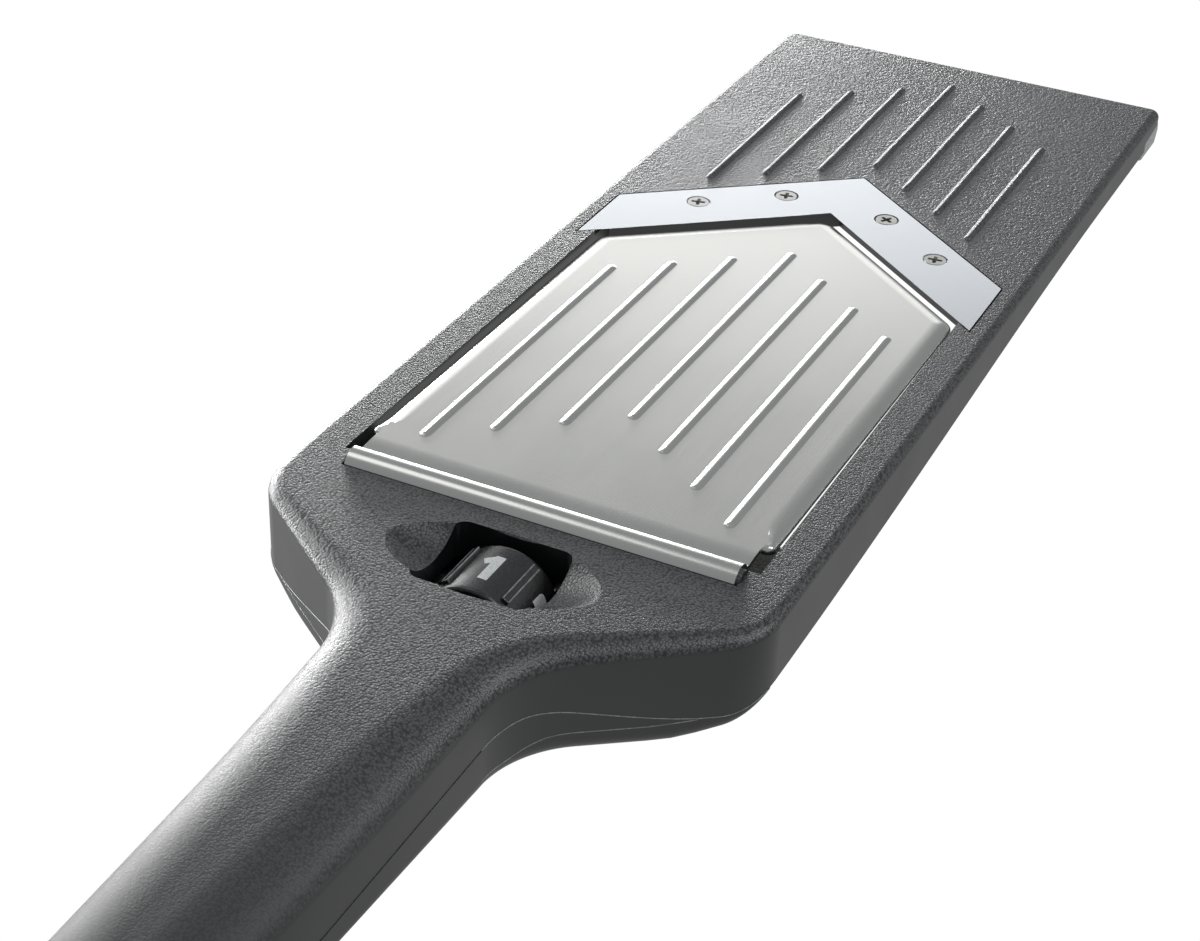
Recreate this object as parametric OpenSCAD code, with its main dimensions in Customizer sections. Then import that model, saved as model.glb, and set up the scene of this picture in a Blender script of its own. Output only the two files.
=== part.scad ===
// V-blade mandoline: textured body with a handle, hinged steel ramp plate,
// V-shaped blade and a thumbwheel that sets the slice thickness.
// Inside the modules y runs along the tool from the handle-side edge of the
// window (y = 0) to the far end, and z = 0 is the top face. place() then puts
// the origin under the middle of the whole tool.

/* [Body] */
// Width of the head
head_w = 102.8; // [98:0.1:110]
// Length from the window's handle-side edge to the far end
head_len = 241.6; // [236:0.1:260]
// Length from the window's handle-side edge to the handle's end
handle_len = 159.6; // [145:0.1:180]
// Width of the window
window_w = 86.3; // [86:0.1:88]
// Radius of the far corners in plan
far_corner_r = 4; // [3.5:0.5:8]
// Radius of the shoulders in plan
shoulder_r = 13.5; // [11:0.5:20]
// Where the shoulders start, behind the window's edge
shoulder_back = 10; // [7:1:12]
// Slope of the shoulders towards the handle
shoulder_angle = 36; // [30:1:40]
// Radius of the hollow curve from shoulder to handle
neck_r = 22; // [16:1:28]
// Half width of the handle at its neck
neck_half_w = 16.3; // [15:0.1:19]
// Radius of the handle's end in plan
handle_end_r = 13.4; // [12.8:0.1:16]
// Rounding of the top edge on the head, in plan
edge_w = 2; // [1.5:0.1:3]
// Rounding of the top edge on the head, in height
edge_h = 1.8; // [1.5:0.1:2.8]
// Crown of the handle, in plan
crown_w = 12.2; // [6:0.1:12.6]
// Crown of the handle, in height
crown_h = 7; // [4:0.5:8]
// Depth of the side walls at the window's handle-side edge
wall_depth_near = 13.6; // [13:0.1:15]
// Depth of the side walls at the far end
wall_depth_far = 7; // [6.6:0.1:9]
// Depth of the parting line where it dips at the shoulders
parting_dip = 16.5; // [14:0.1:17]
// Depth of the parting line at the neck
parting_neck = 11.6; // [11:0.1:14]
// Depth of the parting line along the handle's end
parting_end = 15.6; // [13:0.1:16]
// Wall thickness of the mouldings
wall = 2.6; // [2:0.2:3.2]
// Thickness of the top of the mouldings
top_t = 3.2; // [2.8:0.2:3.8]
// Radius of the hanging hole
hang_hole_r = 4; // [2.5:0.25:5]

/* [Blade] */
// Angle of the blade's arms from straight across
v_angle = 39; // [36:1:42]
// Half length of the blade across the tool
blade_half_w = 46.4; // [45.5:0.1:47.5]
// Distance of the blade's outer point from the window's edge
blade_apex = 163.5; // [160:0.5:168]
// Width of an arm, square to its edge
blade_arm_w = 16.7; // [15:0.1:18]
// Thickness of the blade
blade_t = 1.2; // [0.8:0.1:1.5]
// Gap around the blade in its recess
blade_gap = 0.4; // [0.2:0.1:0.8]
// How far the blade's cutting edge overhangs its seat
blade_overhang = 5.5; // [4:0.5:6.5]
// Distance of the inner pair of screws from the middle
screw_in = 12.45; // [10:0.1:14]
// Distance of the outer pair of screws from the middle
screw_out = 29; // [24:0.1:34]
// Distance of the screws from the blade's outer edge
screw_edge = 6.3; // [5.5:0.1:7.5]

/* [Ribs] */
// Number of ribs on the landing and on the plate
rib_count = 7; // [3:2:7]
// Spacing of the ribs
rib_pitch = 10.7; // [9:0.1:11.2]
// Length of the landing ribs
landing_rib_len = 56.5; // [40:0.5:60]
// Where the middle landing rib starts
landing_rib_start = 171.2; // [170:0.2:173]
// Width of the landing ribs
landing_rib_w = 2; // [1.6:0.1:3]
// Height of the landing ribs
landing_rib_h = 0.9; // [0.5:0.1:1]
// Length of the plate ribs
plate_rib_len = 83; // [60:1:86]
// Where the middle plate rib starts
plate_rib_start = 36.5; // [35:0.5:38]
// Width of the plate ribs
plate_rib_w = 2.8; // [2.4:0.1:4]
// Height of the plate ribs
plate_rib_h = 1; // [0.6:0.1:1.2]

/* [Plate] */
// Width of the plate over its rolled edges
plate_w = 84.4; // [83:0.1:84.8]
// Distance of the plate's far point from the window's edge
plate_apex = 140.8; // [132:0.1:141.2]
// Where the plate's side edges start, past the window's edge
plate_near = 7.6; // [7:0.1:9]
// Width of the tongue and the hinge lip
lip_w = 80.4; // [70:0.2:81]
// Sheet thickness
sheet_t = 0.8; // [0.6:0.1:1]
// Width of the rolled-down edges, in plan
roll_w = 3.6; // [1.8:0.1:4.2]
// Depth of the rolled-down edges
roll_d = 1.5; // [1.2:0.1:2]
// Radius of the plate's far corners in plan
plate_corner_r = 4.5; // [4:0.5:6]
// Tilt of the plate at the thinnest setting
rest_tilt = 0.46; // [0.3:0.01:0.7]
// Outer radius of the hinge bead on the body
bead_r = 2.3; // [2:0.1:2.5]
// Height of the plate's top above the hinge axis
plate_rise = 1.6; // [1.4:0.1:1.8]

/* [Wheel] */
// Radius of the thumbwheel
wheel_r = 9.5; // [8.5:0.1:9.8]
// Length of the thumbwheel
wheel_len = 15.5; // [13:0.5:16]
// Depth of the wheel's axis below the top face
axis_depth = 10.4; // [10.2:0.1:11.5]
// Number of settings on the wheel
settings = 5; // [3:1:5]
// Slice thickness added by each setting
step = 1; // [0.6:0.1:1.1]
// Height of the grip ribs on the wheel
wheel_rib_h = 0.6; // [0.3:0.1:0.8]
// Width of the grip ribs on the wheel
wheel_rib_w = 1.6; // [1:0.1:2.4]
// Height of the numerals
numeral_h = 8; // [6:0.5:9]
// Thickness of the numerals' inlay above the wheel
numeral_t = 0.15; // [0.1:0.05:0.3]
// Radius of the shaft
shaft_r = 2; // [1.6:0.1:2.2]
// Radius of the bushes
bush_r = 3.6; // [3.2:0.1:4]
// Distance of the cam from the window's edge
cam_y = 60; // [50:1:70]
// Least radius of the cam
cam_min_r = 3; // [2.8:0.1:3.4]
// Length of the cam
cam_len = 5; // [4:0.5:6]

/* [Scoop] */
// Length of the thumb scoop across the tool
scoop_w = 43; // [38:1:48]
// Width of the thumb scoop along the tool
scoop_l = 20.7; // [20:0.1:22]
// Depth of the thumb scoop at its middle
scoop_depth = 5; // [4:0.25:5.5]
// Width of the wheel's opening
opening_w = 24; // [23:0.5:26]
// Length of the wheel's opening
opening_l = 20; // [18:0.5:20.5]

/* [Cover] */
// Depth of the lower cover's underside below the top face
cover_depth = 22.2; // [21:0.1:22.6]
// Rounding of the lower cover's bottom edge
cover_edge_r = 2.6; // [2:0.1:4]
// Gap at the parting line
parting_gap = 0.25; // [0.1:0.05:0.5]
// Thickness of the lower cover's floor
cover_floor = 2; // [1.6:0.1:2.6]

/* [Foot] */
// Length of the rubber foot along the tool
foot_len = 15; // [12:0.5:20]
// Depth of the foot's lower face below the top face
foot_depth = 9.4; // [9:0.1:11]
// How far the foot stands past the far edge
foot_nose = 1.2; // [0.5:0.1:2]

/* [Clearances] */
// Radial clearance of shafts, bushes and pins
run_gap = 0.05; // [0.02:0.01:0.1]
// Gap between moving pieces that don't touch
free_gap = 0.35; // [0.3:0.05:0.5]
// Gap around seated pieces
seat_gap = 0.15; // [0.1:0.05:0.3]
// Radial room of screws in their through holes
screw_gap = 0.2; // [0.1:0.05:0.4]
// Air under a screw head that is drawn home
head_gap = 0.02; // [0.01:0.01:0.05]
// Gap between the hinge lip and its bead
lip_gap = 0.1; // [0.05:0.05:0.2]

/* [Hidden] */

$fn = 64;
half_w = head_w / 2;
v_slope = tan(v_angle);
past = 40;

// Outline of the body
arc_steps = 10;
edge_steps = 6;
wall_steps = 16;
shoulder_turn = 90 - shoulder_angle;
shoulder_c = [half_w - shoulder_r, -shoulder_back];
shoulder_end = shoulder_c + shoulder_r * [cos(shoulder_turn), -sin(shoulder_turn)];
neck_start_x = neck_half_w + neck_r * (1 - cos(shoulder_turn));
neck_start_y = shoulder_end.y - (shoulder_end.x - neck_start_x) * tan(shoulder_angle);
neck_c = [neck_half_w + neck_r, neck_start_y - neck_r * sin(shoulder_turn)];
end_c = [0, -handle_len + handle_end_r];
crown_start = 2;
crown_len = 90;
wall_start = 10;
dip_y = 22;
neck_line_y = 44;
wall_taper = 200;
parting_taper = 57;
cover_start = 7.5;
cover_taper = 20;

// Wheel and shaft along the tool
wheel_mid = -21;
scoop_mid = wheel_mid + 0.4;
opening_corner_r = 2.5;
pan_depth = scoop_depth + 2.4;
pan_near = scoop_mid - scoop_l / 2 - 9;
pan_far = scoop_mid + scoop_l / 2 + 1.5;
ring_r = 6;
ring_len = 2.4;
hub_r = 4.4;
wheel_pin_r = 0.8;
cam_pin_r = 0.5;
wheel_near = wheel_mid - wheel_len / 2;
wheel_far = wheel_mid + wheel_len / 2;
bush_len = 4;
bush_wall = 2.4;
crossbar_t = 3.5;
front_boss_len = 7;
rear_web_far = wheel_near - ring_len - 1.2;
rear_web_near = rear_web_far - bush_len;
far_wall_t = 5;
far_wall_near = cam_y + cam_len / 2 + 1.5;
far_wall_far = far_wall_near + far_wall_t;
clip_t = 0.8;
clip_near = far_wall_far + 0.2;
shaft_far = clip_near + clip_t + 1.4;
shaft_near = rear_web_near - 0.5;
groove_depth = 0.4;
wheel_turn = 360 * (settings - 1) / settings;

// Hinge of the plate
hinge_y = -2.1;
hinge_z = -1.2;
lip_in_r = bead_r + lip_gap;
lip_mid_r = lip_in_r + sheet_t / 2;
lip_out_r = lip_in_r + sheet_t;
groove_r = lip_out_r + free_gap;
groove_w = lip_w + 1.2;
bead_w = groove_w + 0.2;
plate_reach = plate_apex - hinge_y;
drop = step * (settings - 1);
drop_angle = atan(drop / plate_reach);
cam_rise = (cam_y - hinge_y) * tan(drop_angle);
cam_max_r = cam_min_r + cam_rise;

// Blade, window and plate outlines
blade_arm_y = blade_arm_w / cos(v_angle);
blade_inner_apex = blade_apex - blade_arm_y;
seat_apex = blade_inner_apex + blade_overhang / cos(v_angle);
pocket_lap = 1;
recess_depth = blade_t + 0.05;
screw_y = screw_edge / cos(v_angle);
screw_points = [for (x = [-screw_out, -screw_in, screw_in, screw_out])
                [x, blade_apex - screw_y - abs(x) * v_slope]];
rib_half = (rib_count - 1) / 2;
plate_near_r = 1.5;
near_roll_w = 1;
roll_taper = 7;
tongue_inset = 6;

// Screws
screw_r = 1.5;
blade_head_r = 2.75;
blade_head_t = 1.05;
blade_screw_len = 4.6;
insert_r = 2.3;
insert_len = 3;
boss_r = 3.6;
post_r = boss_r + 0.6;
blade_boss_r = 4.2;
blade_boss_floor = 0.6;
insert_room = 1;
pilot_r = 1.3;
pan_head_r = 2.7;
pan_head_t = 1.8;
pan_head_room = 0.3;
handle_cavity_top = 7.5;
cover_seat = 2.4;
cover_screw_len = 8;
cover_posts = [[30, -25], [-30, -25], [0, -66], [0, -118]];
leaf_t = 0.4;
detent_x = -ring_r - 4.5;
detent_y = rear_web_near + 1.5;
detent_z = -pan_depth - 0.05;
detent_screw_r = 1;
detent_screw_len = 3.2;
cradle_screw_x = 12.5;
cradle_flange_t = 2.5;
cradle_screw_len = cradle_flange_t + front_boss_len - 1;

// Ledges in the window's near corners, below the plate
ledge_w = 10;
ledge_len = 15;
ledge_t = 3;
ledge_depth = 6.1;
ledge_lap = 1;

// Rubber foot
foot_start = head_len - foot_len;
foot_slant = 9;
foot_top = 4;
foot_lap = 0.8;
foot_inset = 0.4;

// Underside of the cover
housing_wall = 1.7;
housing_in_r = wheel_r + wheel_rib_h + 1;
housing_r = housing_in_r + housing_wall;
housing_near = rear_web_near - wall;
housing_far = -front_boss_len - 1;
housing_top = axis_depth + 2.5;
housing_flat = 0.4;
low_z = -axis_depth - housing_r + housing_flat;
shaft_room = 1;
cover_front_y = -12;

// Whole tool, for the origin
y_high = head_len + foot_nose;
y_mid = (y_high - handle_len) / 2;

charcoal = [0.17, 0.175, 0.18];
steel = [0.74, 0.74, 0.72];
blade_steel = [0.86, 0.88, 0.9];
black = [0.06, 0.06, 0.065];
grey_rubber = [0.5, 0.51, 0.52];
brass = [0.75, 0.6, 0.3];
nylon = [0.85, 0.84, 0.8];

module place() {
    translate([0, -y_mid, -low_z]) children();
}

function clamp01(t) = min(1, max(0, t));
function smooth(t) = let(s = clamp01(t)) s * s * (3 - 2 * s);
function mix(a, b, t) = a + (b - a) * t;

// Rounding of the top edge in plan and in height: small on the head, a crown on the handle
function edge_reach(y) = mix(edge_w, crown_w, smooth((crown_start - y) / crown_len));
function edge_fall(y) = mix(edge_h, crown_h, smooth(-y / crown_len));

// Lower edge of the body: shallow at the far end, a dip at the shoulders, high at the neck
function lower_edge(y) = y > -wall_start
    ? -mix(wall_depth_near, wall_depth_far, smooth((y + wall_start) / wall_taper))
    : y > -dip_y
    ? -mix(wall_depth_near, parting_dip, smooth((-wall_start - y) / (dip_y - wall_start)))
    : y > -neck_line_y
    ? -mix(parting_dip, parting_neck, smooth((-dip_y - y) / (neck_line_y - dip_y)))
    : -mix(parting_neck, parting_end, clamp01((-neck_line_y - y) / parting_taper));

// Lower face of the cover: it runs out at the shoulders
function cover_low(y) = -mix(wall_depth_near, cover_depth, smooth((-cover_start - y) / cover_taper));

// Right half of the body's outline as [x, y, normal x, normal y]
function arc(c, r, from, to, steps, side = 1) =
    [for (i = [0 : steps]) let(a = mix(from, to, i / steps))
        [c.x + side * r * cos(a), c.y + side * r * sin(a), cos(a), sin(a)]];

function body_outline() = concat(
    arc([half_w - far_corner_r, head_len - far_corner_r], far_corner_r, 90, 0, 5),
    [for (i = [1 : wall_steps])
        [half_w, mix(head_len - far_corner_r, -shoulder_back, i / (wall_steps + 1)), 1, 0]],
    arc(shoulder_c, shoulder_r, 0, -shoulder_turn, arc_steps),
    arc(neck_c, neck_r, -shoulder_turn, 0, arc_steps, -1),
    [for (i = [1 : 5]) [mix(neck_half_w, handle_end_r, i / 6), mix(neck_c.y, end_c.y, i / 6), 1, 0]],
    arc(end_c, handle_end_r, 0, -86, arc_steps));

function inset(outline, d) = [for (p = outline) [p[0] - d * p[2], p[1] - d * p[3]]];
function both_sides(points) = concat(points,
    [for (i = [len(points) - 1 : -1 : 0]) [-points[i].x, points[i].y]]);

// Closed solid from rings of right-half points, mirrored to the left
module ring_solid(rings) {
    n = len(rings[0]);
    loop = 2 * n;
    points = [for (ring = rings) each concat(ring,
        [for (i = [n - 1 : -1 : 0]) [-ring[i].x, ring[i].y, ring[i].z]])];
    sides = [for (j = [0 : len(rings) - 2], i = [0 : loop - 1]) let(k = (i + 1) % loop)
        each [[j * loop + i, (j + 1) * loop + i, (j + 1) * loop + k],
              [j * loop + i, (j + 1) * loop + k, j * loop + k]]];
    last = (len(rings) - 1) * loop;
    top = [for (i = [0 : n - 2])
        each [[i, i + 1, loop - 2 - i], [i, loop - 2 - i, loop - 1 - i]]];
    bottom = [for (i = [0 : n - 2])
        each [[last + i, last + loop - 2 - i, last + i + 1],
              [last + i, last + loop - 1 - i, last + loop - 2 - i]]];
    polyhedron(points, concat(sides, top, bottom), convexity = 8);
}

// Outer skin of the body, with its rounded top edge
module body_skin() {
    outline = body_outline();
    edge = [for (k = [edge_steps : -1 : 0]) let(a = 90 * k / edge_steps)
        [for (p = outline) let(o = edge_reach(p[1]) * (1 - cos(a)))
            [p[0] - o * p[2], p[1] - o * p[3], -edge_fall(p[1]) * (1 - sin(a))]]];
    ring_solid(concat(edge, [[for (p = outline) [p[0], p[1], lower_edge(p[1])]]]));
}

// Skin of the lower cover: d is its inset, floor_t how far its bottom is raised
module cover_skin(d, floor_t, top_gap, r) {
    outline = [for (p = body_outline()) if (p[1] < cover_front_y) p];
    top = [for (p = outline) [p[0] - d * p[2], p[1] - d * p[3], lower_edge(p[1]) - top_gap]];
    edge = [for (k = [0 : edge_steps]) let(a = 90 * k / edge_steps)
        [for (p = outline) let(
            depth = lower_edge(p[1]) - cover_low(p[1]),
            fit = min(r, 0.8 * depth),
            o = d + fit * (1 - cos(a)))
            [p[0] - o * p[2], p[1] - o * p[3], cover_low(p[1]) + floor_t + fit * (1 - sin(a))]]];
    ring_solid(concat([top], edge));
}

module along_y(from, to, r) {
    translate([0, from, -axis_depth])
        rotate([-90, 0, 0])
            cylinder(r = r, h = to - from);
}

module v_band(outer, inner, half, gap = 0) {
    reach = half + gap;
    polygon([[0, outer + gap / cos(v_angle)], [reach, outer + gap / cos(v_angle) - reach * v_slope],
             [reach, inner - reach * v_slope], [0, inner],
             [-reach, inner - reach * v_slope], [-reach, outer + gap / cos(v_angle) - reach * v_slope]]);
}

module rounded_rectangle(w, l, r) {
    square([w - 2 * r, l], center = true);
    square([w, l - 2 * r], center = true);
    for (x = [-1, 1], y = [-1, 1])
        translate([x * (w / 2 - r), y * (l / 2 - r)])
            circle(r = r);
}

// Straight bar with a round top and round ends, standing h above z = 0;
// less makes it thinner about the same middle line
module round_rib(from, len, w, h, less) {
    r = w * w / (8 * h) + h / 2;
    translate([0, from + w / 2, h - r]) {
        rotate([-90, 0, 0])
            cylinder(r = r - less, h = len - w);
        sphere(r = r - less);
        translate([0, len - w, 0]) sphere(r = r - less);
    }
}

module rib_row(start, len, w, h, less = 0) {
    for (i = [-rib_half : rib_half])
        translate([i * rib_pitch, 0, 0])
            round_rib(start - abs(i) * rib_pitch * v_slope, len, w, h, less);
}

module thumb_scoop() {
    across = scoop_l / 2;
    lift = (across * across - scoop_depth * scoop_depth) / (2 * scoop_depth);
    bow = (scoop_w * scoop_w / 4 + scoop_depth * scoop_depth) / (2 * scoop_depth);
    translate([0, scoop_mid, lift])
        rotate([0, 90, 0])
            rotate_extrude()
                intersection() {
                    translate([lift + scoop_depth - bow, 0]) circle(r = bow, $fn = 180);
                    translate([0, -scoop_w / 2]) square([lift + scoop_depth, scoop_w]);
                }
}

module window_cut() {
    half = window_w / 2;
    translate([0, 0, -past])
        linear_extrude(2 * past)
            polygon([[-half, 0], [half, 0], [half, seat_apex - half * v_slope],
                     [0, seat_apex], [-half, seat_apex - half * v_slope]]);
}

// Hollow under the landing board, open to the window below the blade's seat
module landing_pocket() {
    half = half_w - wall - 1;
    start = seat_apex - pocket_lap;
    translate([0, 0, -past])
        linear_extrude(past - top_t - recess_depth)
            polygon([[0, start], [half, start - half * v_slope], [half, foot_start - wall],
                     [-half, foot_start - wall], [-half, start - half * v_slope]]);
}

// Channel in each side rail, open below
module rail_channels() {
    rail = half_w - window_w / 2;
    channel_w = rail - 2 * wall + 1;
    channel_len = seat_apex - half_w * v_slope - 2 * wall;
    for (s = [-1, 1])
        translate([s * (half_w - rail / 2) - channel_w / 2, wall, -past])
            cube([channel_w, channel_len, past - top_t - recess_depth]);
}

// Hollow of the shoulders and the handle, with the webs and bosses left standing
module rear_cavity() {
    shoulder_y = neck_c.y + 4;
    hollow = both_sides(inset(body_outline(), wall));
    difference() {
        union() {
            translate([0, 0, -past])
                linear_extrude(past - top_t)
                    intersection() {
                        polygon(hollow);
                        translate([-half_w, shoulder_y]) square([head_w, -crossbar_t - shoulder_y]);
                    }
            translate([0, 0, -past])
                linear_extrude(past - handle_cavity_top)
                    intersection() {
                        polygon(hollow);
                        translate([-half_w, -handle_len]) square([head_w, handle_len + shoulder_y + 1]);
                    }
        }
        // floor of the thumb scoop
        difference() {
            translate([-scoop_w / 2 - wall, pan_near, -pan_depth])
                cube([scoop_w + 2 * wall, pan_far - pan_near, pan_depth]);
            along_y(rear_web_far, wheel_mid, ring_r + free_gap);
        }
        // web of the rear bush
        translate([-bush_r - bush_wall, rear_web_near, -axis_depth])
            cube([2 * (bush_r + bush_wall), bush_len, axis_depth]);
        along_y(rear_web_near, rear_web_far, bush_r + bush_wall);
        // boss of the front bush and of the cradle's screws
        along_y(-front_boss_len, 0, bush_r + bush_wall);
        for (x = [-cradle_screw_x, cradle_screw_x])
            translate([x, 0, 0]) along_y(-front_boss_len, 0, boss_r);
        for (p = cover_posts)
            translate([p.x, p.y, lower_edge(p.y)]) cylinder(r = boss_r, h = past);
        translate([0, end_c.y, -past]) cylinder(r = hang_hole_r + wall, h = 2 * past);
    }
}

// Profile of the rolled lip about the hinge axis: arch, trough and ramp up to the sheet
function lip_path() = let(
    arch_end = 20,
    trough_r = 1.6,
    ramp = 15,
    start = lip_mid_r * [cos(arch_end), sin(arch_end)],
    c = start + trough_r * [cos(arch_end), sin(arch_end)],
    top = plate_rise - sheet_t / 2,
    foot = c + trough_r * [sin(ramp), -cos(ramp)],
    crease = foot.x + (top - foot.y) / tan(ramp))
    concat([for (a = [172 : -8 : arch_end + 1]) [lip_mid_r * cos(a), lip_mid_r * sin(a), cos(a), sin(a)]],
           [for (a = [arch_end : (90 + ramp - arch_end) / arc_steps : 90 + ramp + 0.1])
               [c.x - trough_r * cos(a), c.y - trough_r * sin(a), cos(a), sin(a)]],
           [[crease, top, 0, 1], [crease + 6, top, 0, 1]]);

function thick_line(path, t) = concat([for (p = path) [p[0] + t / 2 * p[2], p[1] + t / 2 * p[3]]],
    [for (i = [len(path) - 1 : -1 : 0]) let(p = path[i])
        [p[0] - t / 2 * p[2], p[1] - t / 2 * p[3]]]);

// The plate's own frame: origin on the hinge axis, turned by its tilt
module on_plate() {
    translate([0, hinge_y, hinge_z])
        rotate([-rest_tilt, 0, 0])
            translate([0, -hinge_y, plate_rise])
                children();
}

// Right half of the plate's outline, from its rounded far point to its near corner
function plate_outline() = let(
    half = plate_w / 2,
    r = plate_corner_r,
    turn = 90 - v_angle,
    side_y = plate_apex - half * v_slope,
    apex_c = [0, plate_apex - r / cos(v_angle)],
    side_c = [half - r, side_y - r * tan(turn / 2)])
    concat(arc(apex_c, r, 87, turn, 3),
           arc(side_c, r, turn, 0, 6),
           [for (i = [1 : 8]) [half, mix(side_c.y, plate_near + plate_near_r, i / 9), 1, 0]],
           arc([half - plate_near_r, plate_near + plate_near_r], plate_near_r, 0, -86, 4),
           [[lip_w / 2 - tongue_inset, plate_near, 0, -1]]);

// Width of the rolled edge: full along the sides, small at the near corners
function roll_at(y) = mix(near_roll_w, roll_w, smooth((y - plate_near - near_roll_w / 2) / roll_taper));

module plate_sheet() {
    outline = plate_outline();
    outer = [for (k = [edge_steps : -1 : 0]) let(a = 90 * k / edge_steps)
        [for (p = outline) let(o = roll_at(p[1]) * (1 - cos(a)))
            [p[0] - o * p[2], p[1] - o * p[3], -roll_d * (1 - sin(a))]]];
    inner = [for (k = [0 : edge_steps]) let(a = 90 * k / edge_steps)
        [for (p = outline) let(r = roll_at(p[1]), o = r - (r - sheet_t) * cos(a))
            [p[0] - o * p[2], p[1] - o * p[3], (roll_d - sheet_t) * sin(a) - roll_d]]];
    ring_solid(concat(outer, inner));
}

module screw_recess(size, depth) {
    for (a = [0, 90])
        rotate([0, 0, a])
            translate([-size / 2, -size / 8, -depth])
                cube([size, size / 4, depth + 1]);
}

// Pan-head screw, head at z = 0 and shank pointing up
module pan_screw(len, r) {
    difference() {
        union() {
            translate([0, 0, -pan_head_t]) cylinder(r = pan_head_r, h = pan_head_t);
            cylinder(r = r, h = len);
        }
        translate([0, 0, -pan_head_t])
            mirror([0, 0, 1])
                screw_recess(3, 1);
    }
}

module body_shell() {
    color(charcoal) place()
        difference() {
            union() {
                difference() {
                    body_skin();
                    window_cut();
                    rear_cavity();
                    difference() {
                        landing_pocket();
                        for (p = screw_points)
                            translate([p.x, p.y, -recess_depth - insert_len - insert_room - blade_boss_floor])
                                cylinder(r = blade_boss_r, h = past);
                    }
                    rail_channels();
                    translate([0, hinge_y, hinge_z])
                        rotate([0, 90, 0])
                            cylinder(r = groove_r, h = groove_w, center = true);
                }
                // hinge bead and its neck
                translate([0, hinge_y, hinge_z])
                    rotate([0, 90, 0])
                        cylinder(r = bead_r, h = bead_w, center = true);
                translate([-bead_w / 2, -crossbar_t, hinge_z - groove_r - 1])
                    cube([bead_w, crossbar_t - 0.6, groove_r + 1]);
                // bosses of the bushes, and ledges in the window's near corners
                along_y(rear_web_near, rear_web_far, bush_r + bush_wall);
                along_y(-front_boss_len, 0, bush_r + bush_wall);
                for (s = [-1, 1])
                    translate([s * (window_w - ledge_w) / 2, ledge_len / 2, -ledge_depth])
                        cube([ledge_w + 2 * ledge_lap, ledge_len + 2 * ledge_lap, ledge_t], center = true);
                rib_row(landing_rib_start, landing_rib_len, landing_rib_w, landing_rib_h);
            }
            // blade recess and screw holes
            translate([0, 0, -recess_depth])
                linear_extrude(past)
                    v_band(blade_apex, blade_inner_apex - blade_gap / cos(v_angle),
                           blade_half_w, blade_gap);
            for (p = screw_points)
                translate([p.x, p.y, -recess_depth - insert_len - insert_room])
                    cylinder(r = insert_r + run_gap, h = past);
            // thumb scoop and wheel opening
            thumb_scoop();
            translate([0, scoop_mid, -past / 2])
                linear_extrude(past)
                    rounded_rectangle(opening_w, opening_l, opening_corner_r);
            // bores for the bushes, screws and the hanging hole
            along_y(rear_web_near - 1, rear_web_far + 1, bush_r + run_gap);
            along_y(-front_boss_len - 1, 1, bush_r + run_gap);
            for (x = [-cradle_screw_x, cradle_screw_x])
                translate([x, 0, 0]) along_y(-front_boss_len - 1, 1, pilot_r + run_gap);
            for (p = cover_posts)
                translate([p.x, p.y, lower_edge(p.y) - 1])
                    cylinder(r = pilot_r + run_gap, h = cover_screw_len - cover_seat + 1.5);
            translate([0, end_c.y, -past]) cylinder(r = hang_hole_r, h = 2 * past);
            translate([detent_x, detent_y, detent_z - 1])
                cylinder(r = detent_screw_r + run_gap, h = detent_screw_len + 1.2);
            // slanted seat of the foot
            translate([-half_w - 1, 0, 0])
                foot_seat();
        }
}

// Slanted seat cut for the foot, run along x
module foot_seat() {
    rotate([90, 0, 90])
        linear_extrude(head_w + 2)
            polygon([[foot_start, -wall_depth_far - foot_lap], [foot_start + foot_slant, -foot_top],
                     [head_len + past, -foot_top], [head_len + past, -past], [foot_start, -past]]);
}

// Plan of the cover's front panel, clear of the side walls and the bosses
module front_panel() {
    back = cover_front_y - 4;
    boss_reach = cradle_screw_x + boss_r + free_gap;
    difference() {
        intersection() {
            polygon(both_sides(inset(body_outline(), wall + free_gap)));
            translate([-half_w, back]) square([head_w, -crossbar_t - free_gap - back]);
        }
        translate([-boss_reach, -front_boss_len - free_gap]) square([2 * boss_reach, front_boss_len]);
    }
}

module lower_cover() {
    color(charcoal) place()
        difference() {
            union() {
                difference() {
                    cover_skin(0, 0, parting_gap, cover_edge_r);
                    difference() {
                        cover_skin(wall, cover_floor, -2, cover_edge_r);
                        for (p = cover_posts)
                            translate([p.x, p.y, -past])
                                cylinder(r = post_r, h = past + lower_edge(p.y) - parting_gap);
                        translate([0, end_c.y, -past])
                            cylinder(r = hang_hole_r + wall, h = past + lower_edge(end_c.y) - parting_gap);
                    }
                }
                // front panel between the side walls
                translate([0, 0, cover_low(cover_front_y)])
                    linear_extrude(cover_floor + lower_edge(cover_front_y) - cover_low(cover_front_y))
                        front_panel();
                // housing of the wheel
                intersection() {
                    along_y(housing_near, housing_far, housing_r);
                    translate([-past, -past, low_z]) cube([2 * past, past, -low_z - housing_top]);
                }
            }
            along_y(housing_near + housing_wall, housing_far - housing_wall, housing_in_r);
            along_y(wheel_far, 0, shaft_r + shaft_room);
            for (p = cover_posts) {
                translate([p.x, p.y, -past]) cylinder(r = screw_r + screw_gap, h = past);
                translate([p.x, p.y, -past])
                    cylinder(r = pan_head_r + pan_head_room, h = past + lower_edge(p.y) - cover_seat);
            }
            translate([0, end_c.y, -past]) cylinder(r = hang_hole_r, h = 2 * past);
        }
}

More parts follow.
